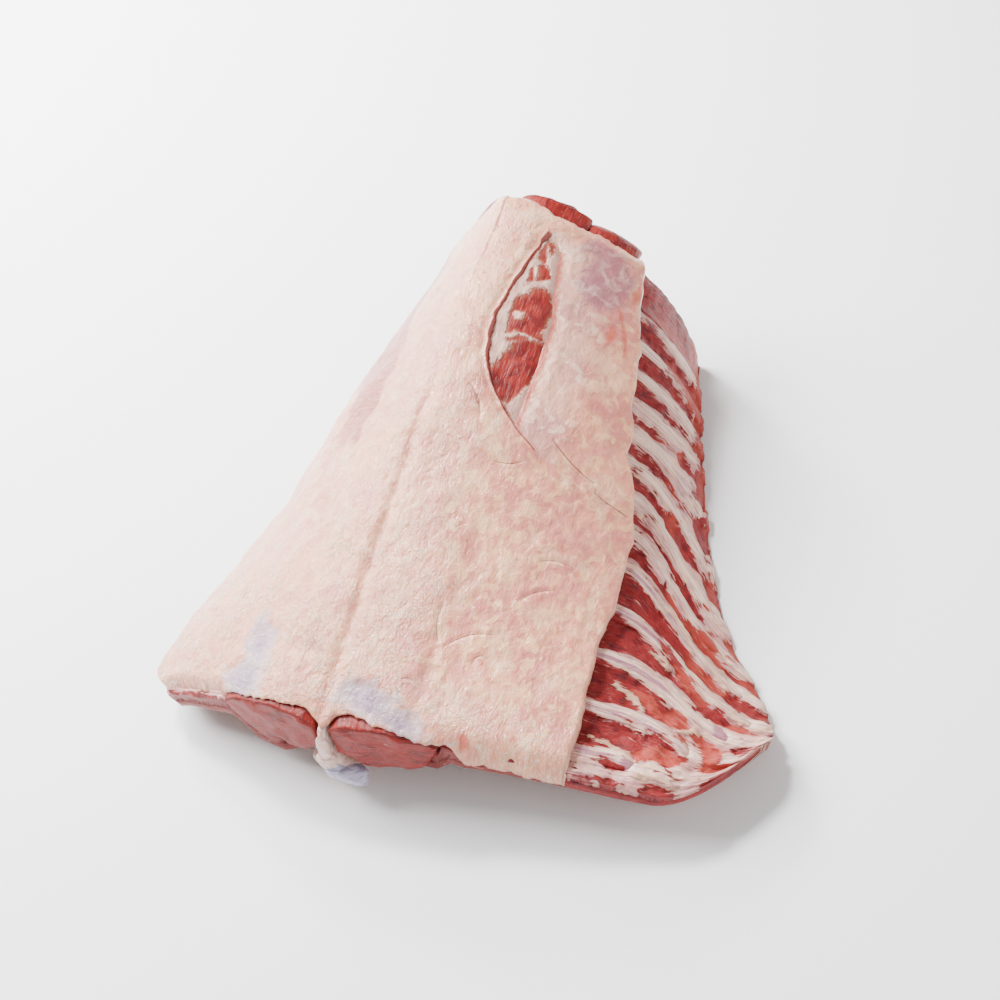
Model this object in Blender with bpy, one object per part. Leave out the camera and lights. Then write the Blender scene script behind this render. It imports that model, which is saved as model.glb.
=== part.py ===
"""Raw lamb rib rack: both eye muscles and thirteen pairs of ribs on one backbone.

The rack rests on its rib ends with the back up and the fat on. Every piece is laid
out in coordinates of the outside of the ribs: t runs from 0 at the loin end to 1 at
the shoulder end, s is the way down the flank from the ridge of the back, and depth
is measured inwards. Lengths are in metres and angles in degrees, with +Z up.
"""

from collections import namedtuple

import bmesh
import bpy
import numpy as np

LENGTH = 0.338
RIB_PAIRS = 13

CROWN_LOIN = 0.0557
CROWN_SHOULDER = 0.1220
REST_FROM = 0.28
EDGE_THICKNESS = 0.006
RIDGE_ROUND = 0.010
LEAN_SPAN = 0.13
FLATTEST_COSINE = 0.02
EYE_SWELL = 0.0018
EYE_SWELL_AT = 0.033
EYE_SWELL_SPAN = 0.018
SPINE_DIP_SHARE = 0.6
SPINE_DIP_SPAN = 0.010
LOIN_SWEEP_FROM = 0.8
SHOULDER_CUT_FROM = 0.5

Flank = namedtuple(
    "Flank",
    "name sign crown_tilt edge_tilt edge_turn bend loin_lift loin_skew loin_sweep "
    "shoulder_skew shoulder_cut shoulder_rise",
)
RIGHT = Flank(
    name="right",
    sign=1,
    crown_tilt=(2.0, 18.5),
    edge_tilt=(15.0, 87.0),
    edge_turn=2.3,
    bend=1.2,
    loin_lift=0.0192,
    loin_skew=0.0175,
    loin_sweep=0.044,
    shoulder_skew=0.014,
    shoulder_cut=0.012,
    shoulder_rise=0.0075,
)
LEFT = Flank(
    name="left",
    sign=-1,
    crown_tilt=(-2.5, 42.0),
    edge_tilt=(36.0, 91.0),
    edge_turn=1.4,
    bend=1.13,
    loin_lift=0.0189,
    loin_skew=0.019,
    loin_sweep=0.0,
    shoulder_skew=0.0055,
    shoulder_cut=0.0,
    shoulder_rise=0.0085,
)

Window = namedtuple("Window", "flank across along lip")
RIGHT_WINDOW = Window(RIGHT, across=(0.032, 0.062), along=(0.314, 0.180), lip=(-0.025, 0.004))
LEFT_WINDOW = Window(LEFT, across=(0.030, 0.066), along=(0.318, 0.185), lip=(0.006, 0.030))
WINDOW_POINTS = 13
WINDOW_REACH = (-0.020, 0.006)

FAT_THICKNESS = 0.005
FAT_EDGE = 0.131
FAT_EDGE_SHOULDER = 0.092
FAT_NARROWS_FROM = 0.55
FAT_TO_RIB_ENDS = 0.004
FAT_RAG = 0.0022
FAT_RAG_WAVES = (31, 67)
FAT_RAG_FINE = 0.6
FAT_WAVE = 0.0005
FAT_ROUND_SIDE = 0.008
FAT_ROUND_END = 0.006
FAT_RIM_SHARE = 0.45
SPINE_GROOVE = 0.0012
SPINE_GROOVE_SPAN = 0.008
KNUCKLE = 0.0042
KNUCKLE_SPAN = 0.015
KNUCKLE_FROM = 0.95

EYE_INNER = 0.0045
EYE_OUTER_LOIN = 0.066
EYE_OUTER_SHOULDER = 0.048
EYE_DEPTH = 0.030
EYE_INNER_DEPTH = 0.62
EYE_THIN = 0.0012
EYE_OVERHANG = 0.018
CUT_SWELL = 0.0035

WALL_THICKNESS = 0.010
WALL_FROM = 0.25
WALL_SETBACK = 0.010
WALL_SETBACK_TO = (0.20, 0.35)
MEAT_DIP = 0.0012
LINING_RIDGE = 0.0009

RIB_WIDTH = 0.0105
RIB_NARROWEST = 0.45
RIB_LANE_SHARE = 0.4
RIB_SHARE = 0.62
RIB_ACROSS = (-1.0, -0.6, 0.6, 1.0, 0.6, -0.6)
RIB_DOWN = (0.4, 0.0, 0.0, 0.4, 1.0, 1.0)
RIB_BOW = 0.021
RIB_BOW_SPAN = 0.6
RIB_SWEEP = 0.078
RIB_SWEEP_FROM = 0.68
RIB_SWEEP_LANES = 0.70
RIB_LEAN_SPAN = 0.5
RIB_LEAN_AT = (0.0, 0.25, 8.5, 11.5, 12.5, 13.0)
RIB_LEAN = (0.0, 0.87, 0.05, 0.24, 0.06, 0.0)
RIB_ENDS = {11: 10, 12: 9, 13: 8}
RIB_END_GAP = 0.08

SHOULDER_FROM = 0.52
SHOULDER_SHEET = 0.0022
SHOULDER_SHEET_EASE = (0.46, 0.54)
SHOULDER_INSET = (0.0015, 0.003)

PROCESS_HALF = 0.0022
PROCESS_DEPTH = 0.019
ARCH_HALF = 0.006
ARCH_DEPTH = 0.0265
WING_DEPTH = (0.0323, 0.0365, 0.039)
WING_WAIST = 0.14
BODY_HALF = 0.011
BODY_DEPTH = 0.046
BODY_WAIST = 0.0012
BODY_TAPER = 0.7
END_TAPER = 0.75
LOIN_KNOB = 0.004
SHOULDER_KNOB = 0.0036
KNOB_TIP = 0.004

SLIP = 0.0005
FLOOR_GAP = 0.0009
LAYER_GAP = 0.0008
EYE_GAP = 0.0011

EYE_STATIONS = (0.0, 0.12, 0.25, 0.55, 0.80, 0.93, 1.0)
FLANK_STATIONS = (0.18, 0.36, 0.52, 0.66, 0.78, 0.88, 0.96, 1.0)

SMOOTH_ANGLE = 50
GAUSS_AT, GAUSS_WEIGHT = np.polynomial.legendre.leggauss(8)

Colour = namedtuple("Colour", "rgb roughness")
COLOURS = {
    "fat": Colour((0.74, 0.53, 0.46), 0.38),
    "eye_muscle": Colour((0.36, 0.07, 0.06), 0.42),
    "rib_meat": Colour((0.42, 0.10, 0.08), 0.42),
    "rib_bone": Colour((0.62, 0.47, 0.46), 0.40),
    "backbone": Colour((0.62, 0.50, 0.50), 0.45),
    "shoulder_meat": Colour((0.40, 0.10, 0.09), 0.42),
}


def smooth(x):
    """Ease from 0 to 1 with level ends."""
    x = np.clip(x, 0.0, 1.0)
    return x * x * (3.0 - 2.0 * x)


def crown_height(t):
    """Height of the ridge: a quarter sine from the loin end up to the shoulder."""
    rise = CROWN_SHOULDER - CROWN_LOIN
    return CROWN_LOIN + rise * np.sin(np.pi * t / 2)


def slope(flank, t, u):
    """Angle below the horizontal at share u of the way from ridge to rib ends."""
    t = np.clip(t, 0.0, 1.0)
    crown = np.interp(t, (0, 1), flank.crown_tilt)
    turned = t * (1 + flank.edge_turn) / (t + flank.edge_turn)
    edge = flank.edge_tilt[0] + np.ptp(flank.edge_tilt) * turned
    return np.radians(crown + (edge - crown) * np.maximum(u, 0.0) ** flank.bend)


def ridge_sink(t, s):
    """Drop that rounds the ridge where the two flanks meet at a slant."""
    crowns = [slope(flank, t, np.zeros_like(t)) for flank in (LEFT, RIGHT)]
    steepness = (np.sin(crowns[0]) + np.sin(crowns[1])) / 2
    return steepness * (np.hypot(s, RIDGE_ROUND) - s)


def mean_heading(flank, t, u):
    """Mean cosine and sine of the slope from the ridge down to share u."""
    angles = slope(flank, t[..., None], u[..., None] * (GAUSS_AT + 1) / 2)
    return np.cos(angles) @ GAUSS_WEIGHT / 2, np.sin(angles) @ GAUSS_WEIGHT / 2


def girth(flank, t):
    """Length of the flank, which runs down until its cut edge meets the table."""
    t = np.asarray(t, float)
    edge_slope = slope(flank, t, np.ones_like(t))
    lift = flank.loin_lift * np.clip(1 - t / REST_FROM, 0, 1) ** 2
    edge_height = lift + EDGE_THICKNESS * np.maximum(np.cos(edge_slope), FLATTEST_COSINE)
    return (crown_height(t) - edge_height) / mean_heading(flank, t, np.ones_like(t))[1]


def place(flank, t, s, depth):
    """Point at depth inside the flank, leaning from straight down to square."""
    t, s, depth = np.broadcast_arrays(t, s, depth)
    u = s / girth(flank, t)
    cosine, sine = mean_heading(flank, t, u)
    lean = slope(flank, t, u) * smooth(s / LEAN_SPAN)
    swell = np.exp(-(((s - EYE_SWELL_AT) / EYE_SWELL_SPAN) ** 2))
    dip = SPINE_DIP_SHARE * np.exp(-((s / SPINE_DIP_SPAN) ** 2))
    inwards = depth - EYE_SWELL * (1 - t) * (swell - dip)
    x = s * cosine - inwards * np.sin(lean)
    z = crown_height(t) - ridge_sink(t, s) - s * sine - inwards * np.cos(lean)
    at_loin = np.clip(1 - t, 0, 1)
    y = LENGTH * t + flank.loin_skew * u * at_loin**2
    low = np.clip((u - LOIN_SWEEP_FROM) / (1 - LOIN_SWEEP_FROM), 0, 1)
    y = y + flank.loin_sweep * low**2 * at_loin**3
    low = np.clip((u - SHOULDER_CUT_FROM) / (1 - SHOULDER_CUT_FROM), 0, 1)
    cut = flank.shoulder_cut * low**2
    y = y + (flank.shoulder_skew * u - cut) * np.clip(t, 0, 1) ** 4
    return np.stack([flank.sign * x, y, z], axis=-1)


def shoulder_rise(flank, t):
    """How far the shoulder meat lifts the fat off the ribs: a sheet that thickens."""
    begins, full = SHOULDER_SHEET_EASE
    sheet = SHOULDER_SHEET * smooth((t - begins) / (full - begins))
    more = flank.shoulder_rise - SHOULDER_SHEET
    return sheet + more * np.clip((t - SHOULDER_FROM) / (1 - SHOULDER_FROM), 0, 1) ** 1.5


def fat_edge(flank, t):
    """Way down the flank to the ragged cut edge of the fat."""
    share = np.clip((t - FAT_NARROWS_FROM) / (1 - FAT_NARROWS_FROM), 0, 1)
    width = FAT_EDGE + (FAT_EDGE_SHOULDER - FAT_EDGE) * share
    coarse, fine = FAT_RAG_WAVES
    rag = np.sin(coarse * t + flank.sign) + FAT_RAG_FINE * np.sin(fine * t + 2 * flank.sign)
    return np.minimum(width, girth(flank, t) - FAT_TO_RIB_ENDS) + FAT_RAG * rag


def fat_height(flank, t, s):
    """Thickness of the fat: a groove on the spine, waves, and a rounded edge.

    A knuckle of fat and gristle swells over the spine at the shoulder end.
    """
    groove = SPINE_GROOVE * np.exp(-((s / SPINE_GROOVE_SPAN) ** 2))
    knuckle = KNUCKLE * np.exp(-((s / KNUCKLE_SPAN) ** 2)) * smooth((t - KNUCKLE_FROM) / (1 - KNUCKLE_FROM))
    wave = FAT_WAVE * np.sin(90 * s + 21 * t) * np.sin(17 * t + 2 * flank.sign + 40 * s)
    to_edge = (fat_edge(flank, t) - s) / FAT_ROUND_SIDE
    to_end = np.minimum(t, 1 - t) * LENGTH / FAT_ROUND_END
    round_off = np.sqrt(np.clip(np.minimum(to_edge, to_end), 0, 1))
    full = FAT_RIM_SHARE + (1 - FAT_RIM_SHARE) * round_off
    return (FAT_THICKNESS - groove + wave) * full + knuckle


def eye_outer(t):
    """Way down the flank to the outer edge of the eye muscle."""
    return EYE_OUTER_LOIN + (EYE_OUTER_SHOULDER - EYE_OUTER_LOIN) * np.clip(t, 0, 1)


def eye_bottom(r):
    """Depth of the eye muscle at share r of its width: deep by the spine, thin outside."""
    corner = EYE_INNER_DEPTH + (1 - EYE_INNER_DEPTH) * smooth(r / WALL_FROM)
    return EYE_THIN + EYE_DEPTH * corner * np.sqrt(np.clip(1 - r**3, 0, 1))


def down_flank(flank, t, zone, r):
    """Distance s at share r of the eye muscle's width, or of the flank beyond it."""
    inner = np.where(zone == 0, EYE_INNER, eye_outer(t))
    outer = np.where(zone == 0, eye_outer(t), girth(flank, t))
    return inner + (outer - inner) * r


def rib_lane(flank, v, zone, r):
    """Station t of the rib lane v, which bows forwards and then sweeps to the loin.

    The ribs also lean to the loin as they leave the spine, the first ones the most, by
    RIB_LEAN times their spacing.
    """
    u = down_flank(flank, v, zone, r) / girth(flank, v)
    bow = RIB_BOW * smooth(u / RIB_BOW_SPAN)
    sweep = RIB_SWEEP * np.clip((u - RIB_SWEEP_FROM) / (1 - RIB_SWEEP_FROM), 0, 1) ** 1.8
    lane = np.clip(v, 0, 1)
    near, far = WALL_SETBACK_TO
    setback = WALL_SETBACK * (1 - lane) * (1 - smooth((u - near) / (far - near)))
    swept = np.sin(np.pi * np.clip(lane / RIB_SWEEP_LANES, 0, 1))
    shift = bow * np.sin(np.pi * lane**0.8) - sweep * swept + setback
    lean = np.interp((1 - lane) * RIB_PAIRS, RIB_LEAN_AT, RIB_LEAN) * smooth(u / RIB_LEAN_SPAN)
    return v + shift / LENGTH - lean / RIB_PAIRS


def lane_width(flank, v, zone, r):
    """How much wider or closer the rib lanes lie here than at the backbone."""
    step = 0.004
    ahead = rib_lane(flank, v + step, zone, r)
    behind = rib_lane(flank, v - step, zone, r)
    return (ahead - behind) / (2 * step)


def wall_top(zone, r):
    """Depth of the outside of the ribs: under the eye muscle, then at the surface."""
    return np.where(zone == 0, eye_bottom(r) + EYE_GAP, 0.0)


def wall_place(flank, v, zone, r, depth):
    """Point of the chest wall in rib lane v, at a depth below its outside."""
    v, zone, r, depth = np.broadcast_arrays(v, zone, r, depth)
    t = rib_lane(flank, v, zone, r)
    s = down_flank(flank, t, zone, r)
    return place(flank, t, s, wall_top(zone, r) + depth)


def wall_depth(flank, v, zone, r):
    """Thickness of the chest wall, less where its cut edge meets the table."""
    v, zone, r = np.broadcast_arrays(v, zone, r)
    t = rib_lane(flank, v, zone, r)
    s = down_flank(flank, t, zone, r)
    outside = place(flank, t, s, 0.0)[..., 2]
    square = np.maximum(np.cos(slope(flank, t, s / girth(flank, t))), FLATTEST_COSINE)
    room = np.where(zone == 0, WALL_THICKNESS, outside / square)
    return np.minimum(WALL_THICKNESS, room)


def material(name):
    """Principled material for one kind of tissue."""
    colour = COLOURS[name]
    made = bpy.data.materials.get(name) or bpy.data.materials.new(name)
    made.use_nodes = True
    shader = made.node_tree.nodes["Principled BSDF"]
    shader.inputs["Base Color"].default_value = (*colour.rgb, 1.0)
    shader.inputs["Roughness"].default_value = colour.roughness
    shader.inputs["Metallic"].default_value = 0.0
    return made


def add_object(name, bm, tissue, rack):
    """Turn a closed bmesh into a smooth-shaded object of the rack."""
    bmesh.ops.recalc_face_normals(bm, faces=bm.faces)
    mesh = bpy.data.meshes.new(name)
    bm.to_mesh(mesh)
    bm.free()
    mesh.shade_smooth()
    mesh.set_sharp_from_angle(angle=np.radians(SMOOTH_ANGLE))
    mesh.materials.append(material(tissue))
    made = bpy.data.objects.new(name, mesh)
    made.parent = rack
    bpy.context.collection.objects.link(made)
    return made


def add_grid(bm, points):
    """Vertices for a grid of points, as nested lists."""
    return [[bm.verts.new(point) for point in row] for row in points]


def add_face(bm, corners):
    """Face round the corners, without any corner that comes twice."""
    kept = [c for i, c in enumerate(corners) if c is not corners[i - 1]]
    bm.faces.new(kept)


def shell(outer, inner, under=None):
    """Closed bmesh between an outer grid and the inner grid below it.

    The grids have equal rows. under[j] is the inner column below outer column j.
    """
    bm = bmesh.new()
    over = add_grid(bm, outer)
    below = add_grid(bm, inner)
    columns = len(over[0])
    under = under or list(range(columns))
    for grid in (over, below):
        for row, following in zip(grid, grid[1:]):
            for j in range(len(row) - 1):
                add_face(bm, (row[j], row[j + 1], following[j + 1], following[j]))
    for end in (0, -1):
        for j in range(columns - 1):
            rim = (over[end][j], over[end][j + 1], below[end][under[j + 1]], below[end][under[j]])
            add_face(bm, rim)
    for end in (0, -1):
        for i in range(len(over) - 1):
            add_face(bm, (over[i][end], over[i + 1][end], below[i + 1][end], below[i][end]))
    return bm


def loft(rings):
    """Closed bmesh through rings of points, with a face across each end."""
    bm = bmesh.new()
    loops = add_grid(bm, rings)
    for loop, following in zip(loops, loops[1:]):
        for j in range(len(loop)):
            k = (j + 1) % len(loop)
            add_face(bm, (loop[j], loop[k], following[k], following[j]))
    for loop in (loops[0], loops[-1]):
        bm.faces.new(loop)
    return bm


def across_back(t, reach, depth):
    """Grid over both flanks: reach and depth are functions of the flank and t."""
    sides = []
    for flank in (LEFT, RIGHT):
        s = reach(flank, t)
        sides.append(place(flank, t, s, depth(flank, t, s)))
    return np.concatenate([sides[0][:, :0:-1], sides[1]], axis=1)


def add_window_cutter(window, rack):
    """Lens-shaped cutter for the opening left in the fat by the shoulder blade."""
    turn = np.linspace(0, 1, WINDOW_POINTS)
    out, back = turn, turn[-2:0:-1]
    along = np.concatenate([out, back])
    bulge = np.where(np.arange(along.size) < WINDOW_POINTS, window.lip[0], window.lip[1])
    s = np.interp(along, (0, 1), window.across) + bulge * np.sin(np.pi * along)
    t = np.interp(along, (0, 1), window.along) / LENGTH
    rings = [place(window.flank, t, s, depth) for depth in WINDOW_REACH]
    cutter = add_object(f"cutter_{window.flank.name}", loft(rings), "fat", rack)
    cutter.hide_render = True
    cutter.display_type = "WIRE"
    return cutter


def add_fat_cover(rack):
    """One sheet of fat over the back and down both flanks to its cut edges."""
    t = np.linspace(0.0, 1.0, 25)[:, None]
    share = np.array([0, 0.05, 0.13, 0.22, 0.32, 0.42, 0.52, 0.62, 0.72, 0.82, 0.92, 1.0])

    def reach(flank, t):
        return fat_edge(flank, t) * share

    def under(flank, t, s):
        return -shoulder_rise(flank, t) - LAYER_GAP

    def top(flank, t, s):
        return under(flank, t, s) - fat_height(flank, t, s)

    outer = across_back(t, reach, top)
    inner = across_back(t, reach, under)
    fat = add_object("fat_cover", shell(outer, inner), "fat", rack)
    for window in (RIGHT_WINDOW, LEFT_WINDOW):
        cut = fat.modifiers.new(f"blade_cut_{window.flank.name}", "BOOLEAN")
        cut.operation = "DIFFERENCE"
        cut.object = add_window_cutter(window, rack)


def muscle_top(flank, t):
    """Depth of the muscles' outer side, which swells up where it is cut at the shoulder."""
    return -shoulder_rise(flank, t) - CUT_SWELL * smooth((t - 1) / EYE_OVERHANG)


def add_eye_muscle(flank, rack):
    """Long muscle beside the spine, from the loin end to the shoulder end."""
    t = np.append(np.linspace(0.0, 1.0, 14), 1 + EYE_OVERHANG)[:, None]
    r = np.array(EYE_STATIONS)
    s = down_flank(flank, t, 0, r)
    outer = place(flank, t, s, muscle_top(flank, t) + 0 * s)
    inner = place(flank, t, s, eye_bottom(r) + 0 * s)
    add_object(f"loin_{flank.name}", shell(outer, inner), "eye_muscle", rack)


def wall_rows():
    """Zone and share of each row of the chest wall, from the spine to the edge."""
    eye = [(0, r) for r in EYE_STATIONS if r >= WALL_FROM]
    flank = [(1, r) for r in FLANK_STATIONS]
    rows = np.array(eye + flank)
    return rows[:, :1].astype(int), rows[:, 1:]


def rib_middle(number):
    """Rib lane of a rib, counted from the shoulder end."""
    return 1 - (number - 0.5) / RIB_PAIRS


def rib_last_row(number):
    """Last wall row that the rib reaches; the last three ribs stop short."""
    rows = len(wall_rows()[0])
    return RIB_ENDS.get(number, rows - 2)


def rib_half(flank, number, zone, r):
    """Half the rib's width as a share of the rack's length."""
    spread = lane_width(flank, rib_middle(number), zone, r)
    width = RIB_WIDTH * (RIB_NARROWEST + (1 - RIB_NARROWEST) * np.clip(spread, 0, 1))
    return np.minimum(width / 2 / LENGTH / spread, RIB_LANE_SHARE / RIB_PAIRS)


def add_rib_meat(flank, rack):
    """Chest wall: meat between and inside the ribs, with a groove for each rib."""
    zone, r = wall_rows()
    row = np.arange(len(zone))[:, None]
    lanes = [np.zeros_like(r)]
    depths = [MEAT_DIP + np.zeros_like(r)]
    for number in range(RIB_PAIRS, 0, -1):
        middle = rib_middle(number)
        spread = lane_width(flank, middle, zone, r)
        slip = SLIP / LENGTH / np.maximum(spread, RIB_LANE_SHARE)
        half = rib_half(flank, number, zone, r) + slip
        held = row <= rib_last_row(number)
        floor = RIB_SHARE * wall_depth(flank, middle + 0 * r, zone, r) + FLOOR_GAP
        floor = np.where(held, floor, MEAT_DIP)
        for side in (-1, 1):
            pair = [MEAT_DIP + 0 * r, floor]
            lanes += [middle + side * half] * 2
            depths += pair[::-side]
    lanes.append(np.ones_like(r))
    depths.append(MEAT_DIP + np.zeros_like(r))
    lanes = np.concatenate(lanes, axis=1)
    outer = wall_place(flank, lanes, zone, r, np.concatenate(depths, axis=1))
    count = 2 * RIB_PAIRS + 1
    inner_lanes = np.linspace(0.0, 1.0, count) + np.zeros_like(r)
    under = [0] + [i for k in range(1, count, 2) for i in (k - 1, k, k, k + 1)] + [count - 1]
    ridge = np.where(np.arange(count) % 2, 0.0, LINING_RIDGE)
    thickness = wall_depth(flank, inner_lanes, zone, r) - ridge
    inner = wall_place(flank, inner_lanes, zone, r, thickness)
    add_object(f"rib_meat_{flank.name}", shell(outer, inner, under), "rib_meat", rack)


def add_rib(flank, number, rack):
    """Flat bone of six sides, lying in its groove from the backbone outwards."""
    zone, r = wall_rows()
    last = rib_last_row(number)
    zone, r = zone[: last + 1], r[: last + 1]
    middle = rib_middle(number)
    half = rib_half(flank, number, zone, r)
    thick = RIB_SHARE * wall_depth(flank, middle + 0 * r, zone, r)
    across = middle + half * np.array(RIB_ACROSS)
    rings = wall_place(flank, across, zone, r, thick * np.array(RIB_DOWN))
    rings[0] += RIB_END_GAP * (rings[1] - rings[0])
    rings[-1] += RIB_END_GAP * (rings[-2] - rings[-1])
    add_object(f"rib_{flank.name}_{number:02d}", loft(rings), "rib_bone", rack)


def add_shoulder_meat(flank, rack):
    """Slab of shoulder muscle between the ribs and the fat at the shoulder end."""
    t = np.append(np.linspace(SHOULDER_FROM, 1.0, 8), 1 + EYE_OVERHANG)[:, None]
    inner_edge = eye_outer(t) + SHOULDER_INSET[0]
    outer_edge = fat_edge(flank, t) - SHOULDER_INSET[1]
    s = inner_edge + (outer_edge - inner_edge) * np.linspace(0, 1, 5)
    outer = place(flank, t, s, muscle_top(flank, t) + 0 * s)
    inner = place(flank, t, s, -LAYER_GAP + 0 * s)
    name = f"shoulder_meat_{flank.name}"
    add_object(name, shell(outer, inner), "shoulder_meat", rack)


def add_backbone(rack):
    """Thirteen vertebrae in a row: spines upwards, wings and bodies below."""
    t = np.linspace(0.0, 1.0, 2 * RIB_PAIRS + 1)
    loin_tip, shoulder_tip = -LOIN_KNOB / LENGTH, 1 + SHOULDER_KNOB / LENGTH
    t = np.concatenate([[loin_tip], t, [shoulder_tip]])
    beat = np.cos(2 * np.pi * RIB_PAIRS * t)
    shrink = np.where((t < 0) | (t > 1), END_TAPER, 1.0)
    top = np.where(t < 0, KNOB_TIP, np.where(t > 1, -KNOB_TIP, 0.0))
    wing = EYE_INNER + WALL_FROM * (eye_outer(t) - EYE_INNER) - 2 * SLIP
    wing = wing * (1 - WING_WAIST * (1 + beat)) * shrink
    body = (BODY_HALF + BODY_WAIST * beat) * shrink
    upper, lower, collar = WING_DEPTH
    half = [
        (PROCESS_HALF + 0 * t, top),
        (PROCESS_HALF + 0 * t, PROCESS_DEPTH + 0 * t),
        (ARCH_HALF + 0 * t, ARCH_DEPTH + 0 * t),
        (wing, upper + 0 * t),
        (wing, upper + (lower - upper) * shrink),
        (body, upper + (collar - upper) * shrink),
        (BODY_TAPER * body, BODY_DEPTH * shrink),
    ]
    right = [place(RIGHT, t, s, depth) for s, depth in half]
    left = [place(LEFT, t, s, depth) for s, depth in half[::-1]]
    rings = np.stack(right + left, axis=1)
    add_object("backbone", loft(rings), "backbone", rack)


def centre_on_table(rack, pieces):
    """Move the rack so that the middle of its underside is the origin."""
    shown = [piece for piece in pieces if not piece.hide_render]
    points = np.array([v.co[:] for piece in shown for v in piece.data.vertices])
    low, high = points.min(axis=0), points.max(axis=0)
    middle = (low + high) / 2
    rack.location = (-middle[0], -middle[1], -low[2])


def main():
    for old in list(bpy.data.objects):
        bpy.data.objects.remove(old, do_unlink=True)
    rack = bpy.data.objects.new("rack", None)
    bpy.context.collection.objects.link(rack)
    add_fat_cover(rack)
    add_backbone(rack)
    for flank in (LEFT, RIGHT):
        add_eye_muscle(flank, rack)
        add_rib_meat(flank, rack)
        add_shoulder_meat(flank, rack)
        for number in range(1, RIB_PAIRS + 1):
            add_rib(flank, number, rack)
    centre_on_table(rack, rack.children)


main()
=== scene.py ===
"""Raw lamb rib rack, dressed: moist fat, red meat and membrane-covered ribs."""

import bpy
import numpy as np
from mathutils import Matrix, Vector


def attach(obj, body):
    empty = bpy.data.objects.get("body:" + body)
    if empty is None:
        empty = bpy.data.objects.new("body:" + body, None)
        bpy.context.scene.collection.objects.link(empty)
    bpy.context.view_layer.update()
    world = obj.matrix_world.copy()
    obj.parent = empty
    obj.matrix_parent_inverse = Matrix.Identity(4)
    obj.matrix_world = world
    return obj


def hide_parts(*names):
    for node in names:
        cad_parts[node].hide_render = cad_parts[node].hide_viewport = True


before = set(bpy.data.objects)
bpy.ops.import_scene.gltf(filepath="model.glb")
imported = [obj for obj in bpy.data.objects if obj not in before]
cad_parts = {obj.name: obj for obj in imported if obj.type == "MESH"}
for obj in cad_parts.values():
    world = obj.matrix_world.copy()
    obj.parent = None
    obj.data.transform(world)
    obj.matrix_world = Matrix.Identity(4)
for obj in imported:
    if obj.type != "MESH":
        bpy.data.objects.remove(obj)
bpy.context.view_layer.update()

# The setting: a pale seamless floor under soft studio light. A wide lamp stands on the left
# of the rack, and two small hard ones behind it give the moist surface its glints.
CAMERA_TURN, CAMERA_RISE, CAMERA_ROLL = np.radians((32.57, 47.73, 16.42))
CAMERA_AWAY, CAMERA_LENS = 1.163, 73.06
CAMERA_AIM = Vector((-0.0070, -0.0006, 0.05))
LAMPS = (
    ("wide_lamp", (-1.15, 0.10, 1.05), 0.8, 56.0), ("key_lamp", (-0.60, 0.45, 1.15), 0.26, 30.0),
    ("low_lamp", (-0.95, 0.75, 0.70), 0.26, 26.0), ("fill_lamp", (1.25, -0.35, 0.65), 1.0, 10.0),
)
FLOOR_HALF = 3.0


def to_linear(code):
    """Linear colour of an sRGB hex code: a power of 2.4 above the short straight foot."""
    value = np.array([int(code[i : i + 2], 16) for i in (0, 2, 4)]) / 255
    linear = np.where(value <= 0.04045, value / 12.92, ((value + 0.055) / 1.055) ** 2.4)
    return (*linear, 1.0)


def soft_lamp(name, place, size, power):
    """Square lamp of a size in metres that looks at the rack."""
    lamp = bpy.data.lights.new(name, "AREA")
    lamp.size = size
    lamp.energy = power
    holder = bpy.data.objects.new(name, lamp)
    holder.location = place
    holder.rotation_euler = (CAMERA_AIM - Vector(place)).to_track_quat("-Z", "Y").to_euler()
    bpy.context.collection.objects.link(holder)


camera = bpy.data.objects.new("camera", bpy.data.cameras.new("camera"))
camera.data.lens = CAMERA_LENS
camera.data.sensor_width = 36.0
facing = Matrix.Rotation(CAMERA_TURN, 4, "Z") @ Matrix.Rotation(np.pi / 2 - CAMERA_RISE, 4, "X")
facing = facing @ Matrix.Rotation(-CAMERA_ROLL, 4, "Z")
camera.matrix_world = Matrix.Translation(CAMERA_AIM) @ facing @ Matrix.Translation((0, 0, CAMERA_AWAY))
bpy.context.collection.objects.link(camera)
bpy.context.scene.camera = camera

for entry in LAMPS:
    soft_lamp(*entry)
world = bpy.data.worlds.new("studio")
world.use_nodes = True
world.node_tree.nodes["Background"].inputs["Color"].default_value = (1.0, 1.0, 1.0, 1.0)
world.node_tree.nodes["Background"].inputs["Strength"].default_value = 0.50
bpy.context.scene.world = world

floor_mesh = bpy.data.meshes.new("floor")
corners = [(FLOOR_HALF * x, FLOOR_HALF * y, 0) for x, y in ((-1, -1), (1, -1), (1, 1), (-1, 1))]
floor_mesh.from_pydata(corners, [], [(0, 1, 2, 3)])
floor = bpy.data.objects.new("floor", floor_mesh)
bpy.context.collection.objects.link(floor)
paper = bpy.data.materials.new("white_paper_floor")
paper.use_nodes = True
paper.node_tree.nodes["Principled BSDF"].inputs["Base Color"].default_value = to_linear("fafafa")
paper.node_tree.nodes["Principled BSDF"].inputs["Roughness"].default_value = 0.8
floor_mesh.materials.append(paper)

# The chest wall of each flank: red meat between the ribs and a thin lining inside. The
# meat sinks between the bones, and whitish membrane creeps over it from each rib. It follows
# the arch of the rack, as every piece does: two flanks that fall from the ridge of the back.

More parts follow.
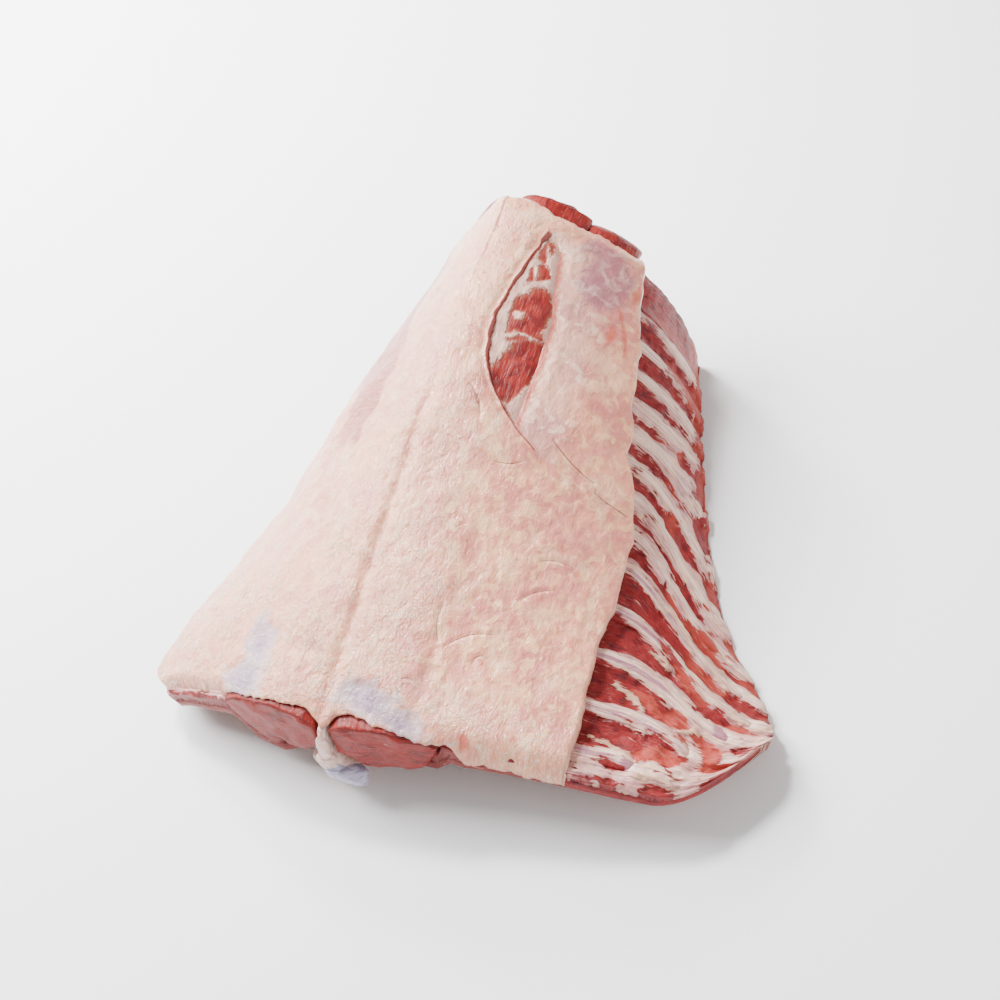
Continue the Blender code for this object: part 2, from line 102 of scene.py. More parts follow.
# The arch, in metres: t runs from the loin end to the shoulder end and s down the flank, and
# depth is measured inwards from the outside of the ribs.
LENGTH = 0.338
RIB_PAIRS = 13
RACK_AT = np.array((-0.04521, -0.17388, 0.00012))
CROWN_LOIN, CROWN_SHOULDER = 0.0557, 0.1220
REST_FROM = 0.28
EDGE_THICKNESS = 0.006
RIDGE_ROUND = 0.010
LEAN_SPAN = 0.13
FLATTEST_COSINE = 0.02
EYE_SWELL, EYE_SWELL_AT, EYE_SWELL_SPAN = 0.0018, 0.033, 0.018
SPINE_DIP_SHARE, SPINE_DIP_SPAN = 0.6, 0.010
LOIN_SWEEP_FROM, SHOULDER_CUT_FROM = 0.8, 0.5
RIGHT = dict(
    sign=1, crown_tilt=(2.0, 18.5), edge_tilt=(15.0, 87.0), edge_turn=2.3, bend=1.2,
    loin_lift=0.0192, loin_skew=0.0175, loin_sweep=0.044, shoulder_skew=0.014,
    shoulder_cut=0.012, shoulder_rise=0.0075,
)
LEFT = dict(
    sign=-1, crown_tilt=(-2.5, 42.0), edge_tilt=(36.0, 91.0), edge_turn=1.4, bend=1.13,
    loin_lift=0.0189, loin_skew=0.019, loin_sweep=0.0, shoulder_skew=0.0055,
    shoulder_cut=0.0, shoulder_rise=0.0085,
)
GAUSS_AT, GAUSS_WEIGHT = np.polynomial.legendre.leggauss(8)


def smooth(x):
    """Ease from 0 to 1 with level ends: 3x squared less 2x cubed."""
    x = np.clip(x, 0.0, 1.0)
    return x * x * (3.0 - 2.0 * x)


def crown_height(t):
    """Height of the ridge: a quarter sine from the loin end up to the shoulder."""
    return CROWN_LOIN + (CROWN_SHOULDER - CROWN_LOIN) * np.sin(np.pi * t / 2)


def slope(flank, t, u):
    """Angle below the horizontal at share u of the way from the ridge to the rib ends."""
    t = np.clip(t, 0.0, 1.0)
    crown = np.interp(t, (0, 1), flank["crown_tilt"])
    turned = t * (1 + flank["edge_turn"]) / (t + flank["edge_turn"])
    edge = flank["edge_tilt"][0] + np.ptp(flank["edge_tilt"]) * turned
    return np.radians(crown + (edge - crown) * np.maximum(u, 0.0) ** flank["bend"])


def mean_heading(flank, t, u):
    """Mean cosine and sine of the slope from the ridge down to share u, by Gauss's rule."""
    angles = slope(flank, t[..., None], u[..., None] * (GAUSS_AT + 1) / 2)
    return np.cos(angles) @ GAUSS_WEIGHT / 2, np.sin(angles) @ GAUSS_WEIGHT / 2


def girth(flank, t):
    """Length of the flank down to its cut edge, which rests on the table."""
    t = np.asarray(t, float)
    edge_slope = slope(flank, t, np.ones_like(t))
    lift = flank["loin_lift"] * np.clip(1 - t / REST_FROM, 0, 1) ** 2
    edge = lift + EDGE_THICKNESS * np.maximum(np.cos(edge_slope), FLATTEST_COSINE)
    return (crown_height(t) - edge) / mean_heading(flank, t, np.ones_like(t))[1]


def place(flank, t, s, depth):
    """Point at a depth inside the flank: s walked along the slope, then inwards."""
    t, s, depth = np.broadcast_arrays(t, s, depth)
    u = s / girth(flank, t)
    cosine, sine = mean_heading(flank, t, u)
    lean = slope(flank, t, u) * smooth(s / LEAN_SPAN)
    swell = np.exp(-(((s - EYE_SWELL_AT) / EYE_SWELL_SPAN) ** 2))
    dip = SPINE_DIP_SHARE * np.exp(-((s / SPINE_DIP_SPAN) ** 2))
    inwards = depth - EYE_SWELL * (1 - t) * (swell - dip)
    crowns = [slope(side, t, np.zeros_like(t)) for side in (LEFT, RIGHT)]
    sink = (np.sin(crowns[0]) + np.sin(crowns[1])) / 2 * (np.hypot(s, RIDGE_ROUND) - s)
    x = s * cosine - inwards * np.sin(lean)
    z = crown_height(t) - sink - s * sine - inwards * np.cos(lean)
    at_loin = np.clip(1 - t, 0, 1)
    y = LENGTH * t + flank["loin_skew"] * u * at_loin**2
    low = np.clip((u - LOIN_SWEEP_FROM) / (1 - LOIN_SWEEP_FROM), 0, 1)
    y = y + flank["loin_sweep"] * low**2 * at_loin**3
    low = np.clip((u - SHOULDER_CUT_FROM) / (1 - SHOULDER_CUT_FROM), 0, 1)
    cut = flank["shoulder_cut"] * low**2
    y = y + (flank["shoulder_skew"] * u - cut) * np.clip(t, 0, 1) ** 4
    return np.stack([flank["sign"] * x, y, z], axis=-1) + RACK_AT


EYE_INNER = 0.0045
EYE_OUTER = (0.066, 0.048)
EYE_DEPTH, EYE_INNER_DEPTH, EYE_THIN, EYE_GAP = 0.030, 0.62, 0.0012, 0.0011
WALL_THICKNESS, WALL_FROM = 0.010, 0.25
WALL_SETBACK, WALL_SETBACK_TO = 0.010, (0.20, 0.35)
RIB_WIDTH, RIB_NARROWEST, RIB_LANE_SHARE = 0.0105, 0.45, 0.4
RIB_BOW, RIB_BOW_SPAN = 0.021, 0.6
RIB_SWEEP, RIB_SWEEP_FROM, RIB_SWEEP_LANES = 0.078, 0.68, 0.70
RIB_LEAN_SPAN = 0.5
RIB_LEAN_AT = (0.0, 0.25, 8.5, 11.5, 12.5, 13.0)
RIB_LEAN = (0.0, 0.87, 0.05, 0.24, 0.06, 0.0)
RIBS_TO, FLOATING_RIBS_TO = 0.965, {11: 0.92, 12: 0.84, 13: 0.73}
FAT_EDGE, FAT_EDGE_SHOULDER, FAT_NARROWS_FROM = 0.133, 0.084, 0.45
FAT_TO_RIB_ENDS, FAT_RAG = 0.004, 0.0024
FAT_NICK, FAT_NICK_AT, FAT_NICK_SPAN = 0.004, 203.0, 12.0
# For each gap between ribs, from the shoulder: how much of it is bare meat at the fat's
# edge, and how far down it stays bare in mm.
BARE_SHARE = (0.95, 0.74, 0.68, 0.62, 0.33, 0.45, 0.43, 0.28, 0.40, 0.74, 0.80, 0.80, 0.80, 0.10)
BARE_REACH = (110, 84, 60, 38, 26, 42, 38, 28, 38, 66, 46, 60, 44, 20)
# Patches of meat and shreds of fat by the loin end: start and end as mm down the flank and
# mm from the loin end, bow, width, and how orange the patch is.
MEAT_PATCHES = (
    ((156, 61), (171, 53), 2, 7, 0.9), ((165, 20), (189, 26), 3, 11, 0.8),
    ((197, 41), (203, 19), 3, 10, 0.8), ((190, 64), (207, 55), 2, 8, 0.1),
    ((170, 94), (187, 76), 1, 6, 0.8), ((164, 100), (176, 90), 1, 5, 0.1),
    ((148, 89), (164, 80), 1, 7, 0.1), ((213, 32), (219, 18), 1, 5, 0.1),
    ((112, 316), (152, 314), 1, 10, 0.6), ((126, 288), (172, 284), 2, 10, 0.7),
    ((183, 118), (200, 96), 2, 5, 0.7), ((160, 150), (188, 128), 2, 4, 0.2),
    ((205, 76), (214, 62), 1, 5, 0.3), ((150, 12), (163, 10), 0, 4, 0.0),
)
FAT_SHREDS = (
    ((139, 26), (165, 18), 2, 4.5), ((144, 63), (162, 53), 2, 4.5), ((158, 92), (174, 84), 1, 3),
    ((184, 45), (196, 48), 1, 4), ((206, 66), (214, 51), 1, 3.5), ((166, 9), (190, 7), 1, 4),
    ((156, 130), (184, 103), 3, 5), ((190, 100), (205, 79), 1, 4),
)


def eye_outer(t):
    """Way down the flank to the outer edge of the eye muscle."""
    return EYE_OUTER[0] + (EYE_OUTER[1] - EYE_OUTER[0]) * np.clip(t, 0, 1)


def eye_bottom(r):
    """Depth of the eye muscle at share r of its width."""
    corner = EYE_INNER_DEPTH + (1 - EYE_INNER_DEPTH) * smooth(r / WALL_FROM)
    return EYE_THIN + EYE_DEPTH * corner * np.sqrt(np.clip(1 - r**3, 0, 1))


def down_flank(flank, t, zone, r):
    """Distance s at share r of the eye muscle's width, or of the flank beyond it."""
    inner = np.where(zone == 0, EYE_INNER, eye_outer(t))
    outer = np.where(zone == 0, eye_outer(t), girth(flank, t))
    return inner + (outer - inner) * r


def lumps(a, b, size, seed, octaves=3):
    """Value noise from about -1 to 1 over two lengths: random heights on a square lattice,
    eased between its points, with each finer octave half as wide and half as high."""
    total, scale = 0.0, 1.0
    for octave in range(octaves):
        heights = np.random.default_rng(seed + octave).uniform(-1, 1, (64, 64))
        p, q = np.asarray(a) / size * 2**octave, np.asarray(b) / size * 2**octave
        i, j = np.floor(p).astype(int), np.floor(q).astype(int)
        f, g = smooth(p - i), smooth(q - j)
        near = heights[i % 64, j % 64] * (1 - g) + heights[i % 64, (j + 1) % 64] * g
        far = heights[(i + 1) % 64, j % 64] * (1 - g) + heights[(i + 1) % 64, (j + 1) % 64] * g
        total = total + scale * (near * (1 - f) + far * f)
        scale = scale / 2
    return total


def fat_edge(flank, t):
    """Way down the flank to the ragged cut edge of the fat."""
    share = np.clip((t - FAT_NARROWS_FROM) / (1 - FAT_NARROWS_FROM), 0, 1)
    along = t * LENGTH * 1000
    nick = FAT_NICK * np.exp(-(((along - FAT_NICK_AT) / FAT_NICK_SPAN) ** 2))
    width = FAT_EDGE + (FAT_EDGE_SHOULDER - FAT_EDGE) * share - nick
    rag = lumps(along, 0 * along + 50 * flank["sign"], 26, 61, 5)
    return np.minimum(width, girth(flank, t) - FAT_TO_RIB_ENDS) + FAT_RAG * rag


def lane_at(v, u):
    """Station t of rib lane v at share u of the flank: it bows forwards, then sweeps, and
    the first ribs lean to the loin."""
    lane = np.clip(v, 0, 1)
    bow = RIB_BOW * smooth(u / RIB_BOW_SPAN)
    sweep = RIB_SWEEP * np.clip((u - RIB_SWEEP_FROM) / (1 - RIB_SWEEP_FROM), 0, 1) ** 1.8
    near, far = WALL_SETBACK_TO
    setback = WALL_SETBACK * (1 - lane) * (1 - smooth((u - near) / (far - near)))
    swept = np.sin(np.pi * np.clip(lane / RIB_SWEEP_LANES, 0, 1))
    lean = np.interp((1 - lane) * RIB_PAIRS, RIB_LEAN_AT, RIB_LEAN) * smooth(u / RIB_LEAN_SPAN)
    shift = bow * np.sin(np.pi * lane**0.8) - sweep * swept + setback
    return v + shift / LENGTH - lean / RIB_PAIRS


def lane_spread(v, u):
    """How far apart the lanes lie, as a share of their spacing on the spine."""
    step = 0.004
    return np.maximum((lane_at(v + step, u) - lane_at(v - step, u)) / (2 * step), 0.2)


def wall_frame(flank, v, zone, r):
    """Station t, distance s, outside depth and thickness of the chest wall in lane v."""
    v, zone, r = np.broadcast_arrays(v, zone, r)
    t = lane_at(v, down_flank(flank, v, zone, r) / girth(flank, v))
    s = down_flank(flank, t, zone, r)
    step_out = (EYE_THIN + EYE_GAP) * (1 - smooth(r / 0.12))
    outside = np.where(zone == 0, eye_bottom(r) + EYE_GAP, step_out)
    height = place(flank, t, s, 0.0)[..., 2] - RACK_AT[2]
    square = np.maximum(np.cos(slope(flank, t, s / girth(flank, t))), FLATTEST_COSINE)
    thickness = np.where(zone == 0, WALL_THICKNESS, np.minimum(WALL_THICKNESS, height / square))
    return t, s, outside, thickness


def rib_half(flank, v, s, t):
    """Half the width of a rib in lane v, as a share of the rack's length."""
    spread = lane_spread(v, s / girth(flank, t))
    width = RIB_WIDTH * (RIB_NARROWEST + (1 - RIB_NARROWEST) * np.clip(spread, 0, 1))
    return np.minimum(width / 2 / LENGTH / spread, RIB_LANE_SHARE / RIB_PAIRS)


def arc(a, b, start, end, bow):
    """Distance across a shallow arc, signed, with the share along it and the whole
    distance. bow is the arc's rise at half its length."""
    start, end = np.array(start, float), np.array(end, float)
    reach = np.hypot(*(end - start))
    ahead = (end - start) / reach
    along = (a - start[0]) * ahead[0] + (b - start[1]) * ahead[1]
    across = (b - start[1]) * ahead[0] - (a - start[0]) * ahead[1]
    share = np.clip(along / reach, 0, 1)
    across = across - 4 * bow * share * (1 - share)
    return across, share, np.hypot(along - share * reach, across)


def stroke(a, b, start, end, bow, width):
    """Field in mm of an arc with a width: above 0 inside, narrower towards both ends."""
    share, away = arc(a, b, start, end, bow)[1:]
    return width / 2 * (0.35 + 0.65 * np.sqrt(4 * share * (1 - share))) - away


def highest(shape, a, b, entries, least):
    """Greatest of a field's values over a list of its shapes, and of a least value."""
    return np.max([shape(a, b, *entry) for entry in entries], axis=0, initial=least)


def rib_side(flank, v, t, s):
    """Numbers for the material on the rib side. red, shred: mm inside bare meat and shreds
    of fat. tone: from dark to orange meat. crest: 1 on a rib and 0 between two. lay: mm
    down the flank and across the ribs."""
    across, along = s * 1000, t * LENGTH * 1000
    side = flank["sign"]
    lanes = (1 - v) * RIB_PAIRS + 0 * s
    gap = np.clip(np.round(lanes), 0, RIB_PAIRS).astype(int)
    pitch = LENGTH * 1000 / RIB_PAIRS * lane_spread(v, s / girth(flank, t))
    off = (lanes - gap) * pitch
    beyond = np.clip(across - fat_edge(flank, t) * 1000, 0, None)
    wander = lumps(across, 40 * gap + 9 * side, 22, 5)
    share, reach = np.array(BARE_SHARE)[gap], np.array(BARE_REACH, float)[gap]
    reach = reach + 5 * lumps(off, 31 * gap + 7 * side, 4, 6, 2)
    taper = np.clip(1 - beyond / reach, 0, 1) ** 0.5
    red = pitch * share / 2 * taper - np.abs(off - 1.6 * wander)
    pieces = pitch * (0.10 + 0.24 * lumps(across, 50 * gap + 13 * side, 13, 7, 2))
    broken = pieces - np.abs(off + (0.04 + 0.10 * wander) * pitch)
    red = np.maximum(red, np.where(beyond > 0.7 * reach, broken, -4.0))
    mood = lumps(across, 70 * gap + 3 * side, 24, 41, 2)
    tone = 0.10 + 0.65 * smooth((beyond - 0.6 * reach) / 12) * smooth(0.5 + 1.2 * mood)
    low_sheet = across - 148 - 0.30 * (300 - along)
    sheet = 5.0 * smooth(low_sheet / 16) * smooth((along - 165) / 40) - 2.2
    red = np.maximum(red, sheet + 2.4 * lumps(across / 2.2, along, 7, 8, 3))
    tone = np.maximum(tone, 0.65 * smooth((sheet + 1.0) / 2))
    lean = np.interp(lanes, RIB_LEAN_AT, RIB_LEAN) * smooth(s / girth(flank, t) / RIB_LEAN_SPAN)
    before_ribs = 10.0 * smooth((0.26 - lanes) / 0.06) - 4.0
    red = np.maximum(red, before_ribs + 2.5 * lumps(across / 3, along, 5, 23, 3))
    shred = np.full_like(across, -4.0)
    if flank is RIGHT:
        a, b = (way + 1.8 * lumps(across, along, 6, seed) for way, seed in ((across, 17), (along, 18)))
        for start, end, bow, width, orange in MEAT_PATCHES:
            patch = stroke(a, b, start, end, bow, width)
            red = np.maximum(red, patch)
            tone = np.where(patch > -0.8, orange, tone)
        shred = highest(stroke, a, b, FAT_SHREDS, -4.0)
    in_order = (lanes + lean) * LENGTH * 1000 / RIB_PAIRS
    lay = np.stack([across, in_order, 30.0 * side + 0 * s], axis=-1)
    crest = 2 * np.abs(lanes - gap)
    return {"red": red, "tone": tone, "shred": shred, "pink": 0 * s - 6.0, "crest": crest, "lay": lay}


def add(tree, kind, inputs, output=0, **settings):
    """Add a shader node with its settings, and return one of its outputs. Each input is set,
    or linked to a socket, or to the number that the mesh keeps under a name."""
    made = tree.nodes.new("ShaderNode" + kind)
    for key, value in settings.items():
        setattr(made, key, value)
    for key, value in inputs.items():
        if isinstance(value, str):
            value = add(tree, "Attribute", {}, "Fac", attribute_name=value)
        if isinstance(value, bpy.types.NodeSocket):
            tree.links.new(value, made.inputs[key])
        else:
            made.inputs[key].default_value = value
    return made.outputs[output]


def grain(tree, size, detail=4.0, distortion=0.0):
    """Noise whose blobs have a size in mm along both axes of the piece's lay."""
    lay = add(tree, "Attribute", {}, "Vector", attribute_name="lay")
    shrink = (1 / size[0], 1 / size[1], 1.0)
    where = add(tree, "VectorMath", {0: lay, 1: shrink}, operation="MULTIPLY")
    sizes = {"Vector": where, "Scale": 1.0, "Detail": detail, "Distortion": distortion}
    return add(tree, "TexNoise", sizes)


def mask(tree, *factors):
    """Product of factors: each is a number, a socket or a kept number's name, or one of
    these with the two levels between which it eases from 0 to 1."""
    whole = 1.0
    for factor in factors:
        if isinstance(factor, tuple):
            levels = dict(enumerate(factor))
            factor = add(tree, "MapRange", levels, interpolation_type="SMOOTHSTEP")
        whole = add(tree, "Math", {0: whole, 1: factor}, operation="MULTIPLY")
    return whole


def ragged(tree, edge, noise, reach, soft):
    """Mask of a field's inside whose rim wanders by reach, as noise says, and is soft wide."""
    wander = add(tree, "Math", {0: noise, 1: 0.5}, operation="SUBTRACT")
    rim = add(tree, "Math", {0: mask(tree, wander, reach), 1: edge})
    return mask(tree, (rim, -soft, soft))


def painted(tree, colour, *coats):
    """Colour under thin coats: each has its own colour and the factors of its mask."""
    for over, *factors in coats:
        colour, over = (to_linear(c) if isinstance(c, str) else c for c in (colour, over))
        sides = {0: mask(tree, *factors), 6: colour, 7: over}
        colour = add(tree, "Mix", sides, 2, data_type="RGBA")
    return colour


def wet_flesh(name, roughness, coat, coat_roughness, glow):
    """Material for moist raw flesh, with light let a little way in, and its node tree."""
    made = bpy.data.materials.new(name)
    made.use_nodes = True
    sockets = {
        "Roughness": roughness, "IOR": 1.45, "Specular IOR Level": 0.3, "Coat Weight": coat,
        "Coat Roughness": coat_roughness, "Coat IOR": 1.36, "Subsurface Weight": glow,
        "Subsurface Radius": (1.0, 0.35, 0.22), "Subsurface Scale": 0.002,
    }
    for key, value in sockets.items():
        made.node_tree.nodes["Principled BSDF"].inputs[key].default_value = value
    return made, made.node_tree


def finish(tree, colour, *relief):
    """Give the shader its colour and a bump of several heights, each with its depth in mm."""
    shader = tree.nodes["Principled BSDF"]
    tree.links.new(colour, shader.inputs["Base Color"])
    sizes = {"Strength": 1.0}
    for height, depth in relief:
        sizes.update(Height=height, Distance=depth / 1000)
        sizes["Normal"] = add(tree, "Bump", sizes)
    for key in ("Normal", "Coat Normal"):
        tree.links.new(sizes["Normal"], shader.inputs[key])


def rib_side_skin(name):
    """Bare meat is a deep wet red with fibres that run beside the ribs. Membrane lies over
    the rest: lilac and see-through by the meat, cream where fat is under it, and a darker
    pink of painted shade down the sides of each rib and between ribs."""
    made, tree = wet_flesh(name, 0.55, 0.25, 0.10, 0.14)
    streaks = grain(tree, (14.0, 1.4), 6.0, 0.7)
    hairs = grain(tree, (6.0, 0.5), 4.0, 0.4)
    clots = grain(tree, (7.0, 4.0), 6.0, 0.9)
    cloudy = grain(tree, (24.0, 9.0), 5.0, 0.7)
    threads = grain(tree, (32.0, 0.9), 6.0, 0.4)
    wander = add(tree, "Math", {0: mask(tree, streaks, 0.60), 1: mask(tree, clots, 0.40)})
    bare = ragged(tree, "red", wander, 14.0, 0.4)
    shred = ragged(tree, "shred", wander, 12.0, 0.5)
    flesh = painted(
        tree, "8e2224",
        ("6a181e", (clots, 0.48, 0.66)),
        ("b44436", 0.85, ("tone", 0.15, 0.95)),
        ("84302c", ("tone", -0.3, -0.7)),
        ("c9766c", 0.4, (hairs, 0.56, 0.74)),
        ("e2a493", 0.7, (streaks, 0.62, 0.76)),
        ("6a181a", 0.5, (streaks, 0.42, 0.28)),
    )
    colour = painted(
        tree, "f6d2c0",
        # painted shade: darker pink down the sides of each rib and in the gaps, where crest is low
        ("d49c98", 0.8, ("crest", 0.9, 0.3)),
        ("aa7484", 0.5, (cloudy, 0.50, 0.66)),
        ("f2c49c", 0.75, (clots, 0.48, 0.62)),
        ("aa6c74", 0.6, (threads, 0.50, 0.60)),
        ("f6dac8", 0.6, (threads, 0.46, 0.36)),
        ("b4504c", 0.5, (streaks, 0.55, 0.70)),
        ("a8484a", 0.4, ("red", -3.0, 0.5)),
        ("a05f78", 0.8, ragged(tree, "pink", streaks, 5.0, 0.35)),
        (flesh, bare),
        ("e6b69a", 0.8, shred),
    )
    relief = (clots, 1.2), (streaks, 0.9), (threads, 0.35), (hairs, 0.2), (bare, -0.4), (shred, 0.3)
    finish(tree, colour, *relief)
    return made


def ladder(loop, way_out):
    """Triangles that close a loop of points: rungs from its way out to its way back."""
    rungs = np.arange(way_out) * (loop - way_out - 1) / (way_out - 1)
    partner = loop - 1 - np.round(rungs).astype(int)
    here, ahead = np.arange(way_out - 1), np.arange(1, way_out)
    steps = partner[here] != partner[ahead]
    out = np.stack([here, ahead, partner[here]], axis=-1)
    home = np.stack([ahead, partner[ahead], partner[here]], axis=-1)[steps]
    return np.concatenate([out, home])


def skin_mesh(name, rings, fields, material, way_out=None):
    """Closed mesh over a grid of rings: each ring is a loop, each ring joins the next, and
    the two end loops are closed by rungs between the loop's first way_out points and the
    rest. fields are numbers kept per vertex."""
    count, loop = rings.shape[:2]
    index = np.arange(count * loop).reshape(count, loop)
    nxt = np.roll(index, -1, axis=1)
    quads = np.stack([index[:-1], nxt[:-1], nxt[1:], index[1:]], axis=-1).reshape(-1, 4)
    points = rings.reshape(-1, 3)
    a, b, c, d = (points[quads[:, k]] for k in range(4))
    volume = (np.cross(b, c) * a).sum() + (np.cross(c, d) * a).sum()
    rungs = ladder(loop, way_out or (loop + 1) // 2)
    caps = np.concatenate([index[0][rungs[:, ::-1]], index[-1][rungs]])
    if volume < 0:
        quads, caps = quads[:, ::-1], caps[:, ::-1]
    mesh = bpy.data.meshes.new(name)
    mesh.from_pydata(points, [], quads.tolist() + caps.tolist())
    mesh.shade_smooth()
    for key, values in fields.items():
        vector = np.ndim(values) == 3
        kept = mesh.attributes.new(key, "FLOAT_VECTOR" if vector else "FLOAT", "POINT")
        shape = rings.shape if vector else rings.shape[:2]
        flat = np.broadcast_to(values, shape).astype(np.float32).ravel()
        kept.data.foreach_set("vector" if vector else "value", flat)
    mesh.materials.append(material)
    piece = bpy.data.objects.new(name, mesh)
    bpy.context.collection.objects.link(piece)
    return piece


def closing(rows, ends=(0.0, 0.30, 0.60, 0.86)):
    """Repeat the end rows of a grid for a rounded end, with how full each row is."""
    extra = len(ends)
    repeated = np.concatenate([np.full(extra, rows[0]), rows, np.full(extra, rows[-1])])
    fullness = np.ones(len(repeated))
    fullness[:extra] = ends
    fullness[-extra:] = ends[::-1]
    return repeated[:, None], np.sqrt(1 - (1 - fullness[:, None]) ** 2)


meat = rib_side_skin("raw_rib_meat_and_membrane")
SPINE_POINTS, FLANK_POINTS, LINING_POINTS, STEPS_PER_RIB = 10, 132, 34, 26
LINING_SWELL, LINING_EDGE = 0.0009, 0.0006
NEAR_SAG, NEAR_SAG_TO = 0.004, 0.07
TABLE_GAP = 0.0004


def chest_wall(flank, name):
    """Meat of one flank: outer rows from the spine to the rib ends, round the cut edge and
    back along the lining, repeated for every lane from the loin to the shoulder."""
    zone = np.repeat((0, 1), (SPINE_POINTS, FLANK_POINTS))
    under_eye = np.linspace(WALL_FROM, 1, SPINE_POINTS + 1)[:-1]
    r = np.concatenate([under_eye, np.linspace(0, 1, FLANK_POINTS) ** 0.9])
    back_rows = np.linspace(0, len(r) - 1, LINING_POINTS).astype(int)[::-1]
    v, fullness = closing(np.linspace(0, 1, RIB_PAIRS * STEPS_PER_RIB + 1))
    nearest = np.clip(np.round(RIB_PAIRS + 0.5 - v * RIB_PAIRS), 1, RIB_PAIRS)
    middle = 1 - (nearest - 0.5) / RIB_PAIRS
    t, s, outside, thickness = wall_frame(flank, v, zone, r)
    half = rib_half(flank, middle + 0 * s, s, t)
    beside = (np.abs(v - middle) / half - 1) * RIB_WIDTH / 2 * 1000
    ends = np.array([FLOATING_RIBS_TO.get(int(n), RIBS_TO) for n in nearest.ravel()])[:, None]
    reached = smooth((ends - s / girth(flank, t)) / 0.015)
    across, along = s * 1000, t * LENGTH * 1000
    kept = rib_side(flank, v, t, s)
    sink = 1.1 * smooth(beside / 3.5) + 1.6 * smooth(kept["red"] / 2.5 + 0.3) - 0.4
    sink = np.where(beside < 0, 1.8 * reached * smooth(-beside / 1.2) - 0.4, sink)
    sink = sink + 0.8 * lumps(across, along, 7, 21) + 0.8 * lumps(across, along, 22, 31)
    sink = sink - 1.3 * smooth(kept["shred"] / 1.5 + 0.4)
    near_rim = smooth((girth(flank, t) - s) / 0.004)
    low = thickness / WALL_THICKNESS
    outer_full = outside + sink * 0.001 * low + (1 - near_rim) * 0.25 * thickness
    swell = LINING_SWELL * np.cos(2 * np.pi * (v * RIB_PAIRS - 0.5))
    inner_full = outside + thickness - swell * low - LINING_EDGE * (1 - low)
    u = s / girth(flank, t)
    belly = smooth((u - 0.12) / 0.12) * (1 - smooth((u - 0.72) / 0.2))
    inner_full = inner_full + NEAR_SAG * belly * np.clip(1 - v / NEAR_SAG_TO, 0, 1) ** 2
    middle_depth = (outer_full + inner_full) / 2
    outer = middle_depth + (outer_full - middle_depth) * fullness
    inner = (middle_depth + (inner_full - middle_depth) * fullness)[:, back_rows]
    points = place(flank, t, s, outer)
    lining = place(flank, t[:, back_rows], s[:, back_rows], inner)
    rings = np.concatenate([points, lining], axis=1)
    rings[..., 2] = np.maximum(rings[..., 2], TABLE_GAP)
    rows = np.concatenate([np.arange(len(r)), back_rows])
    fields = {key: values[:, rows] for key, values in kept.items()}
    inside = np.arange(len(rows)) >= len(r)
    stripes = 4.0 * np.cos(2 * np.pi * v * RIB_PAIRS) - 0.5
    cut = (fullness < 1) & (v < 0.5) & (across[:, rows] < 130)
    fields["red"] = np.where(cut, 8.0, np.where(inside, stripes, fields["red"]))
    fields["tone"] = np.where(cut, -1.0, fields["tone"])
    fields["lay"][..., 1] += 4.0 * (1 - fullness)
    piece = skin_mesh(name + "_dressed", rings, fields, meat, len(r))
    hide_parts(name)
    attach(piece, "root")


chest_wall(RIGHT, "rib_meat_right")
chest_wall(LEFT, "rib_meat_left")

# The ribs: flat curved bones, crowned on the outside, under a thin greyish membrane that
# lets pink bone and purple marrow show through. Their edges lie sunk in the meat.
bone = rib_side_skin("rib_bone_under_membrane")
RIB_LOOP, RIB_SPINE_POINTS, RIB_POINTS = 20, 8, 96
RIB_CROWN, RIB_UNDER, RIB_SUNK, RIB_SUNK_WIDTH = 0.0023, 0.0026, 0.0012, 1.12
RIB_TIP_ROWS = 6
RIB_TABLE_GAP = 0.0006


def rib_bone(flank, side, number):
    """One rib: an oval of a low crown, carried down its lane from under the eye muscle."""
    reach = FLOATING_RIBS_TO.get(number, RIBS_TO)
    zone = np.repeat((0, 1), (RIB_SPINE_POINTS, RIB_POINTS))[:, None]
    under_eye = np.linspace(WALL_FROM + 0.02, 1, RIB_SPINE_POINTS + 1)[:-1]
    r = np.concatenate([under_eye, np.linspace(0, 1, RIB_POINTS)])[:, None]
    middle = 1 - (number - 0.5) / RIB_PAIRS
    t, s = wall_frame(flank, middle, zone, r)[:2]
    keep = (s / girth(flank, t))[:, 0] < reach
    zone, r, t, s = zone[keep], r[keep], t[keep], s[keep]
    turn = np.linspace(0, 2 * np.pi, RIB_LOOP, endpoint=False)
    rows = np.arange(len(r))[:, None]
    tip_rows = np.clip(rows - (len(r) - RIB_TIP_ROWS), 0, None)
    taper = np.sqrt(np.clip(1 - (tip_rows / (RIB_TIP_ROWS - 0.8)) ** 2, 0, 1))
    taper = taper * np.sqrt(np.clip((rows + 0.4) / 2, 0, 1))
    half = rib_half(flank, middle, s, t) * RIB_SUNK_WIDTH
    lane = middle + half * taper * np.sign(np.cos(turn)) * np.abs(np.cos(turn)) ** 0.8
    t, s, outside, thickness = wall_frame(flank, lane, zone, r)
    crown = np.sin(turn)
    wobble = 0.0004 * lumps(s * 1000, number * 31 + 0 * s, 14, 40 + number)
    up = np.where(crown > 0, RIB_CROWN + wobble, RIB_UNDER) * taper
    depth = outside + (RIB_SUNK - up * crown) * (thickness / WALL_THICKNESS)
    points = place(flank, t, s, depth)
    points[..., 2] = np.maximum(points[..., 2], RIB_TABLE_GAP)
    fields = rib_side(flank, lane, t, s)
    across = s * 1000
    beyond = across - fat_edge(flank, t) * 1000
    sideways = np.cos(turn) * RIB_WIDTH / 2 * 1000
    shown = -0.8 if number >= 9 else -2.8
    pink = 1.9 - np.abs(sideways + 0.6) + shown - 2.5 * smooth((beyond - 34) / 40)
    tip = (across / girth(flank, t) / 1000 - reach) * 100 + 4
    fields["pink"] = np.maximum(pink, np.where(number in (11, 13), np.minimum(tip, 2.0), -6.0))
    name = f"rib_{side}_{number:02d}"
    piece = skin_mesh(name + "_dressed", points, fields, bone)
    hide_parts(name)
    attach(piece, "root")


